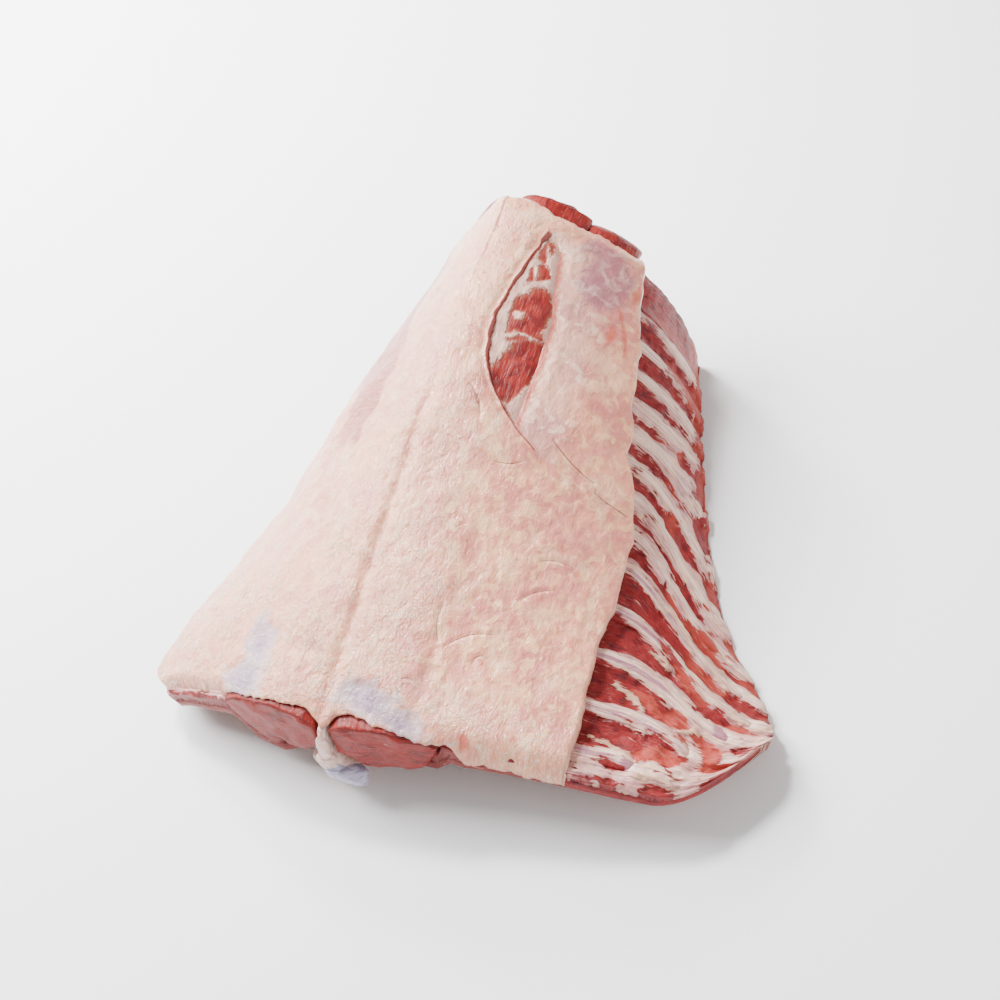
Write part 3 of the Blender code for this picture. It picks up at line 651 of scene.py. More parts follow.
for number in range(1, RIB_PAIRS + 1):
    rib_bone(RIGHT, "right", number)
    rib_bone(LEFT, "left", number)

# The two eye muscles: long bundles of dark red fibres beside the spine. Their cut faces
# show at the loin end, and the right one lies bare in the slit left by the shoulder blade.
SHOULDER_FROM = 0.52
SHOULDER_SHEET, SHOULDER_SHEET_EASE = 0.0022, (0.46, 0.54)
LAYER_GAP = 0.0008
# The slit in the fat over the right muscle, in mm from the loin end and from the spine.
SLIT = dict(turn=253.0, nearest=21.0, far_gain=0.15, near_power=2.5, near_gain=1111.0,
            starts=172.0, stops=322.0)
# Bare patches of meat in the slit: middle and half sizes in mm, and degrees turned. White
# strands cross them: start and end, bow and width.
BARE_PATCHES = (
    ((34.5, 306), (3.6, 9), 0), ((36, 289), (5.4, 8.5), -10), ((39, 259), (11.5, 20), -6),
    ((41.5, 222), (11.5, 27), -16), ((47, 243), (5.5, 9), 0),
)
VEILS = (
    ((26, 241), (50, 246), 2, 2.2), ((27, 279), (46, 280), 2, 2.2), ((27, 296), (36, 284), 2, 2.6),
    ((32, 312), (38, 296), 1, 1.4), ((30, 240), (36, 236), -2, 2.4),
)
NEAR_LIFT, NEAR_LIFT_SPAN = 0.0032, 0.030


def blot(a, b, centre, size, turned=0.0):
    """Field of an oval in mm: above 0 inside, 0 on its rim and less beyond it."""
    angle = np.radians(turned)
    da, db = a - centre[0], b - centre[1]
    along = da * np.cos(angle) + db * np.sin(angle)
    across = db * np.cos(angle) - da * np.sin(angle)
    return (1 - np.hypot(along / size[0], across / size[1])) * min(size)


def near_lift(t, s):
    """Share by which the muscle swells and the fat thins towards the cut loin end."""
    over_eye = smooth((s - 0.003) / 0.009) * (1 - smooth((s - 0.056) / 0.012))
    return smooth(1 - t * LENGTH / NEAR_LIFT_SPAN) * over_eye


def shoulder_rise(flank, t):
    """How far the shoulder meat lifts the fat off the ribs: a sheet that thickens."""
    begins, full = SHOULDER_SHEET_EASE
    sheet = SHOULDER_SHEET * smooth((t - begins) / (full - begins))
    more = flank["shoulder_rise"] - SHOULDER_SHEET
    return sheet + more * np.clip((t - SHOULDER_FROM) / (1 - SHOULDER_FROM), 0, 1) ** 1.5


def slit_lip(along):
    """Way across, in mm, to the slit's lip: nearly straight by the shoulder, and bending
    outwards ever faster towards the loin."""
    before = np.clip(SLIT["turn"] - along, 0, 90)
    after = np.clip(along - SLIT["turn"], 0, None)
    lip = SLIT["nearest"] + SLIT["far_gain"] * after + before ** SLIT["near_power"] / SLIT["near_gain"]
    return lip + 0.5 * lumps(along, 0 * along, 6, 77, 3)


def slit_open(along):
    """Share by which the slit gapes: 0 at its ends and 1 over most of its length."""
    begins = smooth((along - SLIT["starts"]) / 20)
    return begins * (1 - smooth((along - SLIT["stops"] + 14) / 14))


def slit_right(along):
    """Way across, in mm, to where the tissue right of the slit begins to cover the meat."""
    return np.interp(along, (186, 230, 262, 285, 318), (55, 56, 54, 48, 42))


def meat_in_slit(flank, across, along):
    """Numbers for the material: how bare the meat is, and mm inside the membrane over it."""
    if flank is LEFT:
        return 0 * across, 0 * across - 3.0
    past = across - slit_lip(along)
    bare = smooth(past / 1.0 + 1.0) * smooth((along - 165) / 10)
    a, b = across + 1.2 * lumps(across, along, 7, 3), along + 1.6 * lumps(across, along, 8, 4)
    open_meat = highest(blot, a, b, BARE_PATCHES, -9.0)
    veil = np.where((along > 168) & (along < 322), -open_meat, -3.0)
    veil = np.maximum(veil, blot(a, b, (33, 257), (3.6, 2.8)))
    veil = np.maximum(veil, highest(stroke, a, b, VEILS, -20.0))
    groove = 1.3 * smooth((235 - along) / 25) + 0.9 - past
    return bare, np.minimum(veil, np.where(past > -2, -groove, veil))


# Cut muscle is a dull rose brown with close fibres. The bared outside is brighter red, with
# whitish membrane over parts of it.
muscle, tree = wet_flesh("raw_eye_muscle", 0.45, 0.15, 0.12, 0.12)
fibres = grain(tree, (10.0, 0.8), 5.0, 0.4)
bundles = grain(tree, (16.0, 3.0), 4.0, 0.6)
clots = grain(tree, (9.0, 8.0), 5.0, 0.7)
flecks = grain(tree, (4.0, 1.6), 4.0, 0.8)
threads = grain(tree, (4.0, 2.0), 6.0, 1.2)
veil = ragged(tree, "veil", threads, 5.0, 0.9)
bright = painted(
    tree, "8a2420", ("64181c", 0.85, (clots, 0.44, 0.64)), ("cf6f5c", 0.40, (fibres, 0.54, 0.72)),
)
pale = painted(
    tree, "e0b4a2", ("c48c80", 0.7, (clots, 0.45, 0.62)), ("f0d6ca", 0.6, (threads, 0.54, 0.68)),
)
colour = painted(
    tree, "8a1f1a",
    ("5c1312", 0.8, (bundles, 0.46, 0.66)),
    ("a84238", 0.5, (fibres, 0.54, 0.74)),
    ("cf9482", 0.5, (flecks, 0.66, 0.76)),
    (bright, ("bared", 0.2, 0.8)),
    ("d07a58", 0.6, ragged(tree, "veil", clots, 3.0, 3.0)),
    (pale, 0.92, veil),
)
finish(tree, colour, (clots, 0.9), (bundles, 0.7), (fibres, 0.2), (veil, 0.5), (threads, 0.3))
FAR_END, FAR_HUMP_FROM, FAR_HUMP, FAR_HOLLOW = 1.020, 0.965, 0.0046, 0.0014
EYE_MIDDLE, EYE_MIDDLE_DEPTH = 0.42, 0.45
CUT_DOME, FAR_DOME = 0.0026, 1.6
EYE_PINCH, EYE_PINCH_FROM, EYE_PINCH_TO = 0.45, 0.80, 0.06
EYE_TOP_POINTS, EYE_UNDER_POINTS, EYE_ROWS = 84, 26, 262
CUT_FACE_ROWS = (0.0, 0.06, 0.14, 0.24, 0.36, 0.5, 0.64, 0.78, 0.90, 0.97)


def far_bulge(t, share):
    """Height in metres by which cut muscle stands proud at the shoulder end: a hump."""
    hump = np.sin(np.pi * np.clip(share, 0, 1)) ** 0.6
    return (FAR_HUMP * hump - FAR_HOLLOW) * smooth((t - FAR_HUMP_FROM) / 0.03)


def eye_muscle(flank, side):
    """One muscle: outer side from the spine outwards, back along its round underside, and
    both ends drawn in to a slightly domed cut face."""
    r = np.concatenate([np.linspace(0, 1, EYE_TOP_POINTS), np.linspace(1, 0, EYE_UNDER_POINTS)[1:]])
    outer_side = np.arange(len(r)) < EYE_TOP_POINTS
    body = np.linspace(0.0, FAR_END, EYE_ROWS)[:, None]
    drawn = np.array(CUT_FACE_ROWS)[:, None]
    ends = len(drawn)
    t = np.concatenate([np.zeros((ends, 1)), body, np.full((ends, 1), FAR_END)])
    full = np.concatenate([drawn, np.ones_like(body), drawn[::-1]])
    s = down_flank(flank, t, 0, r) + 0.0014 * smooth((t - 0.5) / 0.04) * r
    along, across = t * LENGTH * 1000 + 0 * s, s * 1000
    bare, veil = meat_in_slit(flank, across, along)
    top = -shoulder_rise(flank, t) - far_bulge(t, r) - NEAR_LIFT * near_lift(t, s)
    pinch = EYE_PINCH * smooth((r - EYE_PINCH_FROM) / (1 - EYE_PINCH_FROM)) * (flank is RIGHT)
    pinch = pinch * smooth(1 - t / EYE_PINCH_TO)
    depth = np.where(outer_side, top, eye_bottom(r) * (1 - pinch))
    gap = slit_open(along) * (flank is RIGHT)
    past = across - slit_lip(along)
    inside = gap * smooth((past + 3) / 3) * (1 - smooth((across - slit_right(along) + 7) / 8))
    lifted = 2.4 + 1.8 * smooth((along - 238) / 20) + 0.6 * smooth((veil + 1) / 2)
    rough = 0.4 * lumps(across, along, 12, 51) - lifted * inside
    depth = depth + rough * 0.001 * outer_side
    middle_s = down_flank(flank, t, 0, EYE_MIDDLE)
    middle_depth = -shoulder_rise(flank, t) + EYE_DEPTH * EYE_MIDDLE_DEPTH
    s = middle_s + (s - middle_s) * full
    depth = middle_depth + (depth - middle_depth) * full
    hollow = 1 + 0.6 * lumps(s * 1000, depth * 1000, 9, 7, 2)
    dome = CUT_DOME / LENGTH * np.sqrt(np.clip(1 - full**4, 0, 1)) * hollow
    t = t - np.where(t <= 0.0, dome, 0) + np.where(t >= FAR_END, FAR_DOME * dome, 0)
    points = place(flank, t, s, depth)
    faces = np.broadcast_to(full < 1, s.shape)
    lay = np.where(faces, (s * 1000, depth * 1000), (along, across))
    fields = {
        "bared": np.where(faces, 0.9 * (t > 0.5), bare),
        "veil": np.where(faces, -3.0, veil),
        "lay": np.stack([*lay, 20.0 * flank["sign"] + 0 * s], axis=-1),
    }
    name = f"loin_{side}"
    piece = skin_mesh(name + "_dressed", points, fields, muscle, EYE_TOP_POINTS)
    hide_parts(name)
    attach(piece, "root")


eye_muscle(RIGHT, "right")
eye_muscle(LEFT, "left")

# The shoulder meat: a flat red muscle between the ribs and the fat. It shows past the end
# of the fat at the shoulder and as a thin dark line under the fat's lower edge.
SHEET_TOP_POINTS, SHEET_UNDER_POINTS, SHEET_ROWS = 60, 14, 130
SHEET_LIP = (0.006, 0.011, 0.015, 0.018, 0.020)
SHEET_CLEAR, SHEET_UNDER_FAT = 0.0012, 0.002
SHEET_END, SHEET_END_ROUND, SHEET_RIM_ROUND = 1.0205, 0.018, 0.05


def shoulder_meat(flank, side):
    """Slab of muscle that ends a little past the fat, with rounded edges all round."""
    under = np.linspace(1, 0, SHEET_UNDER_POINTS)[1:-1]
    share = np.concatenate([np.linspace(0, 1, SHEET_TOP_POINTS), under])
    above = np.arange(len(share)) < SHEET_TOP_POINTS
    t = np.append(np.linspace(SHOULDER_FROM, 1.0, SHEET_ROWS), 1 + np.array(SHEET_LIP))[:, None]
    inner_edge, outer_edge = eye_outer(t) + SHEET_CLEAR, fat_edge(flank, t) - SHEET_UNDER_FAT
    s = inner_edge + (outer_edge - inner_edge) * share
    thick = shoulder_rise(flank, t) - LAYER_GAP + far_bulge(t, share)
    rim = np.sqrt(np.clip(np.minimum(share * 1.6, 1 - share) / SHEET_RIM_ROUND, 0, 1))
    shut = np.sqrt(np.clip((SHEET_END - t) / SHEET_END_ROUND, 0, 1))
    half = thick / 2 * (0.35 + 0.65 * rim) * shut
    across, along = s * 1000, t * LENGTH * 1000 + 0 * s
    uneven = 0.0004 * lumps(across, along, 9, 71)
    depth = -LAYER_GAP - thick / 2 + np.where(above, -half + uneven, half)
    points = place(flank, t, s, depth)
    bare, veil = meat_in_slit(flank, across, along)
    veil = np.where(along > 325, -3.0 + 1.3 * lumps(across, along, 9, 73), veil)
    lay = np.stack([along, across, 10.0 * flank["sign"] + 0 * s], axis=-1)
    fields = {"bared": np.maximum(bare, along > 300), "veil": veil, "lay": lay}
    name = f"shoulder_meat_{side}"
    piece = skin_mesh(name + "_dressed", points, fields, muscle, SHEET_TOP_POINTS)
    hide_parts(name)
    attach(piece, "root")


shoulder_meat(RIGHT, "right")
shoulder_meat(LEFT, "left")

# The backbone: a row of vertebrae with thin spines between the eye muscles and flat wings
# under them. At the loin end bluish cartilage swells out beside the last spine.
PROCESS_HALF, PROCESS_DEPTH = 0.0022, 0.019
ARCH_HALF, ARCH_DEPTH = 0.006, 0.0265
WING_DEPTH, WING_WAIST = (0.0323, 0.0365, 0.039), 0.14
BODY_HALF, BODY_DEPTH, BODY_WAIST, BODY_TAPER = 0.011, 0.046, 0.0012, 0.7
BONE_CENTRE = 0.024
BONE_STEPS_PER_RIB, OUTLINE_POINTS = 12, 41

# Fresh bone is pinkish white, and its gristle is smooth, bluish and slightly see-through.
gristle, tree = wet_flesh("bone_and_gristle", 0.30, 0.8, 0.08, 0.20)
clouds = grain(tree, (6.0, 6.0), 5.0, 0.6)
pits = grain(tree, (1.6, 1.6), 4.0)
colour = painted(
    tree, "e8c4b8",
    ("c48c84", (clouds, 0.50, 0.70)),
    ("a5504a", 0.5, (pits, 0.62, 0.74)),
    (painted(tree, "beb6ca", ("938fac", (clouds, 0.45, 0.64))), ragged(tree, "gristle", clouds, 0.8, 0.2)),
)
finish(tree, colour, (clouds, 0.35), (pits, 0.08))


def half_section(t):
    """Half outline of the bone from the tip of the spine down to the belly of the body."""
    beat = np.cos(2 * np.pi * RIB_PAIRS * t)
    wing = EYE_INNER + WALL_FROM * (eye_outer(t) - EYE_INNER) - 0.001
    wing = wing * (1 - WING_WAIST * (1 + beat))
    body = BODY_HALF + BODY_WAIST * beat
    upper, lower, collar = WING_DEPTH
    knots = [
        (0 * t, 0.0), (PROCESS_HALF, 0.0008), (PROCESS_HALF, PROCESS_DEPTH),
        (ARCH_HALF, ARCH_DEPTH), (wing, upper), (wing, lower), (body, collar),
        (BODY_TAPER * body, BODY_DEPTH), (0 * t, BODY_DEPTH + 0.001),
    ]
    reach = np.stack([knot[0] + 0 * t for knot in knots], axis=-1)
    depth = np.stack([knot[1] + 0 * t for knot in knots], axis=-1)
    fine = np.linspace(0, len(knots) - 1, OUTLINE_POINTS)
    low = np.minimum(fine.astype(int), len(knots) - 2)
    share = (smooth(fine - low) + fine - low) / 2
    return (
        reach[:, low] * (1 - share) + reach[:, low + 1] * share,
        depth[:, low] * (1 - share) + depth[:, low + 1] * share,
    )


def backbone():
    """Vertebrae in a row, each wider at its joints, with both ends rounded off."""
    shut = np.array([0.35, 0.60, 0.80, 0.92, 0.98])
    near = -0.0035 / LENGTH * np.array([1.0, 0.97, 0.85, 0.62, 0.35])
    body = np.linspace(0.0, 1.0, RIB_PAIRS * BONE_STEPS_PER_RIB + 1)
    t = np.concatenate([near, body, 1 - near[::-1]])
    fullness = np.concatenate([shut, np.ones_like(body), shut[::-1]])[:, None]
    reach, depth = half_section(t)
    reach = reach * fullness
    depth = BONE_CENTRE + (depth - BONE_CENTRE) * fullness
    along = (t * LENGTH * 1000)[:, None]
    uneven = 1 + 0.05 * lumps(depth * 1000, along, 6, 81)
    right, left = (place(flank, t[:, None], reach * uneven, depth) for flank in (RIGHT, LEFT))
    rings = np.concatenate([right, left[:, -2:0:-1]], axis=1)
    fields = {"gristle": -1.0 + 0 * rings[..., 0], "lay": rings * 1000}
    piece = skin_mesh("backbone_dressed", rings, fields, gristle)
    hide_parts("backbone")
    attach(piece, "root")


backbone()

# The knob of gristle on the cut end of the last vertebra: a smooth double lump, bluish
# white and glossy, with a stub of pinkish bone above it.
KNOBS = (
    ("gristle_knob", (0.0100, -0.003, 0.0335), (0.0105, 0.0065, 0.0052), 1.0),
    ("gristle_lobe", (0.0025, -0.003, 0.0325), (0.0080, 0.0055, 0.0058), 0.9),
    ("gristle_tip", (0.0150, -0.004, 0.0350), (0.0055, 0.0050, 0.0042), 1.0),
    ("spine_stub", (-0.0015, -0.003, 0.0240), (0.0062, 0.0045, 0.0070), -0.2),
    ("spine_string", (-0.0005, -0.003, 0.0130), (0.0036, 0.0036, 0.0110), -1.0),
)


def knob(name, at, size, softness):
    """Lump: a ball drawn out to three radii, with its skin pushed in and out by noise."""
    polar = np.linspace(0.02, np.pi - 0.02, 48)[:, None]
    turn = np.linspace(0, 2 * np.pi, 72, endpoint=False)
    east, north, up = np.sin(polar) * np.cos(turn), np.sin(polar) * np.sin(turn), np.cos(polar)
    ball = np.stack(np.broadcast_arrays(east, north, up), axis=-1)
    bump = 1 + 0.14 * lumps(6 * east + 9, 6 * up + 5 * north + 9, 5.0, 91, 2)
    across, ahead, down = at
    centre = place(RIGHT, np.array(ahead / LENGTH), np.array(0.0), np.array(down))
    rings = ball * np.array(size) * bump[..., None] + centre + np.array((across, 0.0, 0.0))
    fields = {"gristle": softness + 0 * bump, "lay": rings * 1000}
    piece = skin_mesh(name, rings, fields, gristle)
    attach(piece, "root")


for entry in KNOBS:
    knob(*entry)

# The sheet of fat on the back, trimmed by hand: cream to pink, moist and finely creased,
# so thin over the two eye muscles at the loin end that bluish silver skin shows.
# Its thickness and round edges, and the column of its points that follows the slit's lip.
FAT_THICKNESS = 0.0050
FAT_RIM_ROUND, FAT_RIM_SHARE, FAT_END_ROUND, FAT_THINNED = 0.0016, 0.30, 0.010, 0.72
LIP_SHARE, LIP_AT_LOIN, LIP_FURTHEST = 0.30, 0.045, 66
FLAP_GAP, FLAP_SETTLED = 0.0008, 0.0042
SPINE_GROOVE, SPINE_GROOVE_SPAN = 0.0020, 0.0035
SIDE_POINTS, UNDER_POINTS, FAT_ROWS = 130, 20, 294
FAT_END_ROWS = (0.0, 0.08, 0.20, 0.35, 0.55, 0.80)
UNDER_SET_IN = 0.005
# Where the fat ends at the loin and at the shoulder, in mm past the end of the rack, by mm
# down the flank. The cut dips over each eye muscle and curls down beyond it. 1 is the right
# flank and -1 the left.
NEAR_CUT = {
    1: ((0, 3, 7, 14, 23, 37, 46, 59, 68, 72, 80, 140), (0, 2, 6, 7, 5, 1, 0, -2, 1, 0, -3, -4)),
    -1: ((0, 2, 10, 20, 43, 60, 68, 78, 98, 140), (0, 2, 5, 4, 2, 2, 3, 3, 3, 0)),
}
FAR_CUT = ((0, 12, 22, 34, 50, 57, 66, 78, 86), (2, 2, -1, -5, -6, -4, -5, -6, -3))
CURL_FROM = {1: 70.0, -1: 64.0}
CURL_DROP = {1: 0.007, -1: 0.0075}
# Where silver skin, purple meat and stains show: middle and half sizes in mm, and degrees
# turned. Knife cuts and strands: start, end, bow, and how open, or below 0 for a strand.
SILVER = (((22, 14), (21, 11), -22), ((44, 5), (19, 8), -10), ((-54, 12), (15, 14), 0),
          ((-52, 34), (10, 20), 18))
PURPLE = (((71, 305), (15, 23)), ((70, 290), (8, 9)), ((62, 322), (12, 8)))
STAINS = (((84, 271), (2.4, 6)), ((89, 305), (2.4, 8)), ((79, 5), (3, 3)), ((104, 10), (2, 2)),
          ((-9, 140), (2, 4)), ((75, 48), (1.4, 1.4)), ((110, -2), (4, 2)), ((3, 128), (1, 4)))
CUTS = (
    ((54, 52), (77, 65), 3, 0.5), ((38, 29), (44, 30), 1, 0.5), ((75, 188), (103, 174), -2, 0.8),
    ((104, 169), (126, 165), -1, 0.8), ((45, 164), (64, 170), -3, 0.7), ((88, 115), (107, 118), 2, 0.4),
    ((85, 89), (101, 101), 2, 0.3), ((71, 45), (79, 51), 4, 0.5), ((50, 54), (47, 76), 2, 0.4),
    ((20, 205), (33, 186), 2, 0.5), ((24, 214), (28, 190), 3, -0.5), ((36, 196), (46, 178), 2, -0.5),
)


def folds(tree, noise):
    """Thin curling ridges of the moist fat: 1 where the noise passes its middle value."""
    past = add(tree, "Math", {0: noise, 1: 0.5}, operation="SUBTRACT")
    away = add(tree, "Math", {0: past}, operation="ABSOLUTE")
    return mask(tree, (away, 0.05, 0.0), "wet")


# Raw fat is cream and pink by turns. Silver skin, lean meat and blood stains show through
# where it is thin, and knife cuts lie open in it. Painted light makes it lighter and warmer on
# the left flank and by the spine, and painted highlights lie as white glints on its crease
# ridges and in fine flecks.
fat, tree = wet_flesh("moist_fat_cover", 0.42, 0.75, 0.06, 0.16)
wide_tint = grain(tree, (34.0, 34.0), 4.0, 0.4)
mottle = grain(tree, (9.0, 9.0), 6.0, 0.9)
crumple = grain(tree, (5.0, 9.0), 6.0, 0.35)
wrinkle = grain(tree, (2.2, 4.0), 5.0, 0.4)
patchy = grain(tree, (19.0, 26.0), 5.0, 0.8)
fine = grain(tree, (1.2, 1.2), 3.0, 0.3)
hair = grain(tree, (7.0, 0.7), 4.0, 0.3)
# Crease ridges: raised in the bump, and painted near white as highlights.
ridges_and_painted_glints = mask(tree, folds(tree, wrinkle), (mottle, 0.46, 0.60))
film = painted(
    tree, "dfa892", ("bc837c", 0.8, (wide_tint, 0.45, 0.6)), ("efcdb8", 0.7, (mottle, 0.52, 0.66)),
)
silver = painted(
    tree, "bca6ac", ("8c7c98", ("silver", 1.0, 8.0)), ("efe6ea", 0.5, (hair, 0.56, 0.70)),
)
lean = ragged(tree, "lean", patchy, 26.0, 3.5)
purple = ragged(tree, "purple", mottle, 14.0, 3.5)
reach = mask(tree, add(tree, "Math", {0: "kind"}, operation="ABSOLUTE"), 0.38)
away = add(tree, "Math", {0: "seam"}, operation="ABSOLUTE")
line = (add(tree, "Math", {0: reach, 1: away}, operation="SUBTRACT"), -0.08, 0.10)
cut = mask(tree, line, ("kind", 0.05, 0.3))
strand = mask(tree, line, ("kind", -0.05, -0.3))
colour = painted(
    tree, "e2957a",
    ("d07f70", (wide_tint, 0.44, 0.58)),
    ("f4bb88", 0.75, (mottle, 0.48, 0.62)),
    ("f6cca6", 0.4, (patchy, 0.50, 0.64)),
    ("d2787a", 0.55, (patchy, 0.47, 0.34)),
    # painted light: lighter, warmer fat on the lit left flank and by the spine
    ("f4b28c", 0.5, "wet"),
    ("cd705e", 0.5, (crumple, 0.54, 0.68)),
    # painted highlights: near-white along the crease ridges
    ("fff2e8", 0.75, ridges_and_painted_glints),
    # painted glints: fine pale flecks where the fat is wet and lit
    ("fffaf4", 0.7, (fine, 0.58, 0.68), "wet"),
    ("9c2a24", 0.8, lean),
    ("eab8a4", 0.6, lean, (hair, 0.50, 0.66)),
    (film, 0.85, ragged(tree, "film", mottle, 6.0, 2.4)),
    (silver, 0.85, ragged(tree, "silver", mottle, 16.0, 3.0)),
    ("96586a", 0.75, purple),
    ("e0baae", 0.4, purple, (mottle, 0.50, 0.70)),
    ("c4503c", 0.75, ragged(tree, "orange", wrinkle, 4.0, 1.2)),
    ("d5a085", 0.8, ragged(tree, "rim", mottle, 2.0, 0.5)),
    ("93332f", 0.9, ("lip", 0.2, 0.8)),
    ("74382e", 0.75, cut),
    ("f2e8e0", 0.9, strand),
)
finish(
    tree, colour, (mottle, 0.9), (crumple, 1.2), (folds(tree, crumple), 0.3), (ridges_and_painted_glints, 0.5),
    (mask(tree, wrinkle, "wet"), 1.3), (fine, 0.28), (cut, -0.6), (strand, 0.5),
)


def side_fields(flank, s, t):
    """Numbers for the material on one side, and the relief in millimetres."""
    across, along = np.broadcast_arrays(flank["sign"] * s * 1000, t * LENGTH * 1000)
    around = lumps(across, along, 14, 11)
    silver = highest(blot, across, along, SILVER, -9.0) + 1.5 * around
    purple = highest(blot, across, along, PURPLE, -9.0)
    orange = highest(blot, across, along, STAINS, -9.0)
    orange = np.maximum(orange, stroke(across, along, (82, 291), (95, 260), 2, 3.0))
    seam, kind = np.full_like(across, 3.0), np.zeros_like(across)
    for start, end, bow, sort in CUTS:
        side, share, away = arc(across, along, start, end, bow)
        near = (away < 2.6) & (away < np.abs(seam))
        seam = np.where(near, side, seam)
        kind = np.where(near, sort * np.sqrt(4 * share * (1 - share)), kind)
    if flank is LEFT:
        broad = lumps(across, along, 34, 27, 3)
        seam_at = smooth((-across - 36 + 9 * broad) / 12) * smooth((along - 165 + 40 * broad) / 50)
        lean = 13.5 * seam_at * (1 - smooth((-across - 68 + 14 * broad) / 22)) - 7.0 + 3.0 * around
    else:
        lean = blot(across, along, (27, 196), (14, 22), 20) * 0.55 - 6.0 + 1.5 * around
    # wet: high on the left flank and by the spine, where the fat is moist and creased and the lamps light
    # it most. It drives the creases and glints, and paints the fat lighter there as painted light.
    rest = smooth((70 - across) / 45) * (0.55 + 0.45 * smooth((120 - along) / 60))
    low = 0.75 * smooth((45 - along) / 40)
    wet = np.clip(np.maximum(rest, low) * (0.75 + 0.35 * lumps(across, along, 20, 19)), 0.06, 1)
    wet = wet * (1 - 0.6 * smooth(silver / 3 + 0.5))
    hills = 0.6 * lumps(across, along, 30, 12) + 0.42 * lumps(across, along, 9, 13, 4)
    hills = hills + 2.2 * lumps(across, along, 52, 29, 2) * smooth((-across - 25) / 25)
    hills = hills - 1.2 * smooth(silver / 4) - 0.8 * smooth(1.2 - np.abs(seam)) * (kind > 0)
    hills = hills - 0.9 * np.exp(-(((across - 50) / 4) ** 2)) * smooth((75 - along) / 30)
    hills = hills + 3.2 * np.exp(-(((across + 3) / 15) ** 2)) * smooth((along - 322) / 13)
    fields = dict(silver=silver, purple=purple, orange=orange, lean=lean, wet=wet, seam=seam, kind=kind)
    return fields, hills


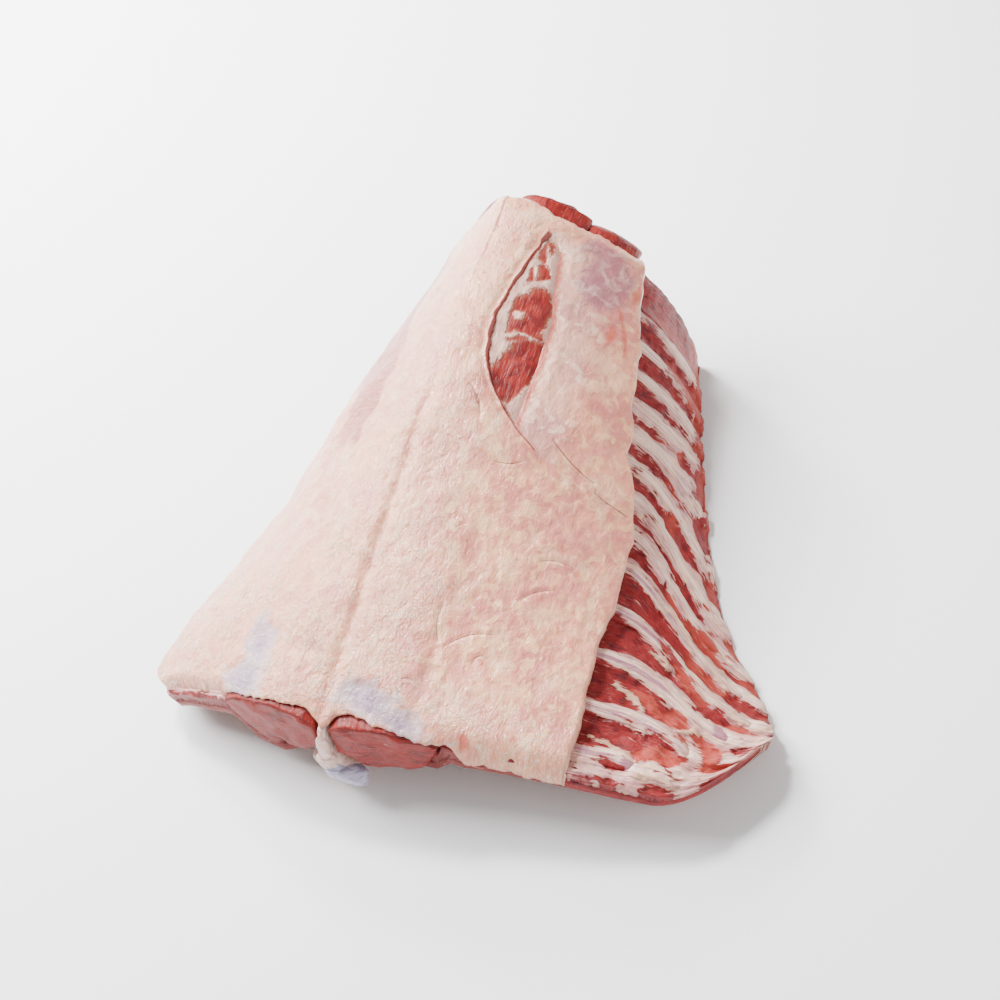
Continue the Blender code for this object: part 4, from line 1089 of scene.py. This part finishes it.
def fat_side(flank, t, fullness, share):
    """Top and underside points of one half of the sheet, from the spine to the cut edge,
    with its material's numbers. On the right a column of points follows the slit's lip."""
    edge = fat_edge(flank, t)
    along = t * LENGTH * 1000
    s = edge * share
    if flank is RIGHT:
        lip = np.clip(slit_lip(along), None, LIP_FURTHEST) / 1000
        settle = smooth((along - 110) / 55)
        lip = LIP_AT_LOIN * (1 - settle) + lip * settle
        beyond = lip + (edge - lip) * (share - LIP_SHARE) / (1 - LIP_SHARE)
        s = np.where(share < LIP_SHARE, lip * share / LIP_SHARE, beyond)
    fields, hills = side_fields(flank, s, t)
    groove = SPINE_GROOVE * np.exp(-((s / SPINE_GROOVE_SPAN) ** 2))
    groove = groove * smooth((240 - along) / 90)
    rim = np.sqrt(np.clip((edge - s) / FAT_RIM_ROUND, 0, 1))
    least = 0.35 - 0.15 * smooth((s - 0.055) / 0.015)
    from_end = np.minimum(t, 1 - t) * LENGTH
    near = least + (1 - least) * np.sqrt(np.clip(from_end / FAT_END_ROUND, 0, 1))
    lift = near_lift(t, s)
    thick = (FAT_THICKNESS + hills / 1000 - groove) * near * (1 - FAT_THINNED * lift)
    thick = thick * (FAT_RIM_SHARE + (1 - FAT_RIM_SHARE) * rim)
    floor_level = shoulder_rise(flank, t) + NEAR_LIFT * lift + 0 * s
    under_height, height = LAYER_GAP + 0 * s, LAYER_GAP + thick
    fields["film"], fields["lip"] = np.full_like(s, -9.0), np.zeros_like(s)
    fields["rim"] = 1.6 - (edge - s) * 1000
    if flank is RIGHT:
        past, from_right = s * 1000 - slit_lip(along), s * 1000 - slit_right(along)
        gap = slit_open(along)
        inside = smooth((past + 0.05) / 0.25) * gap
        surfaced = 3.2 * smooth((from_right + 6) / 3) + 2.0 * smooth((from_right + 3) / 9)
        settled = smooth((from_right - 4) / 24)
        low = 0.001 * (surfaced - 1.0) + (height - FLAP_SETTLED) * settled
        height = height + (low - height) * inside
        under_height = np.minimum(under_height, height - FLAP_GAP)
        height = height - FLAP_GAP * np.exp(-(((past + 2.4) / 2.2) ** 2)) * gap * (past < 0.1)
        veiled = np.where(past > -0.3, 7.0 - 0.30 * np.clip(from_right, 0, None), -9.0)
        fields["film"] = np.where(gap > 0.02, veiled * smooth(gap * 3), -9.0)
        faded = np.where((past > 3) & (gap > 0.9), 1.6 - 0.5 * np.abs(from_right + 3.5), -9.0)
        fields["orange"] = np.maximum(fields["orange"], faded)
        fields["lip"] = smooth((past + 0.45) / 0.3) * (past < 2.0) * smooth(gap * 4)
    under, top = -floor_level - under_height, -floor_level - height
    fields["lay"] = np.stack([
        flank["sign"] * s * 1000 + 0 * t, along - 3.0 * np.sign(0.5 - t) * (1 - fullness) + 0 * s,
        5.0 + 0 * (s + t),
    ], axis=-1)
    knots, values = NEAR_CUT[flank["sign"]]
    rag = 1.1 * lumps(s * 1000, 0 * s + 9 * flank["sign"], 6, 15, 4)
    shift = (np.interp(s * 1000, knots, values) + rag) * np.clip(1 - t / 0.06, 0, 1) ** 2
    shift = shift + (np.interp(s * 1000, *FAR_CUT) + rag) * np.clip((t - 0.94) / 0.06, 0, 1) ** 2
    curl = smooth((s * 1000 - CURL_FROM[flank["sign"]]) / 9) * np.clip(1 - along / 8, 0, 1) ** 1.6
    drop = CURL_DROP[flank["sign"]] * curl
    top, under = top + drop, under + drop
    top = under + (top - under) * fullness
    shift = shift / 1000 / LENGTH
    return t + shift, np.clip(t, UNDER_SET_IN, 1 - UNDER_SET_IN) + shift, s, top, under, fields


def fat_sheet():
    """The whole sheet: over the top from the left edge to the right, then back below."""
    t, fullness = closing(np.linspace(0, 1, FAT_ROWS), FAT_END_ROWS)
    share = 1 - (1 - np.linspace(0, 1, SIDE_POINTS)) ** 1.12
    below = np.linspace(0, SIDE_POINTS - 1, UNDER_POINTS).astype(int)
    halves = []
    for flank in (RIGHT, LEFT):
        t_top, t_under, s, top, under, fields = fat_side(flank, t, fullness, share)
        lower = place(flank, t_under[:, below], s[:, below], under[:, below])
        halves.append({key: (values, values[:, below]) for key, values in fields.items()})
        halves[-1]["rings"] = place(flank, t_top, s, top), lower
    right, left = halves
    joined = {}
    for key, (over, under) in right.items():
        order = [left[key][0][:, :0:-1], over, under[:, ::-1], left[key][1][:, 1:]]
        joined[key] = np.concatenate(order, axis=1)
    rings = joined.pop("rings")
    piece = skin_mesh("fat_cover_dressed", rings, joined, fat, 2 * SIDE_POINTS - 1)
    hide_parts("fat_cover")
    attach(piece, "root")


fat_sheet()
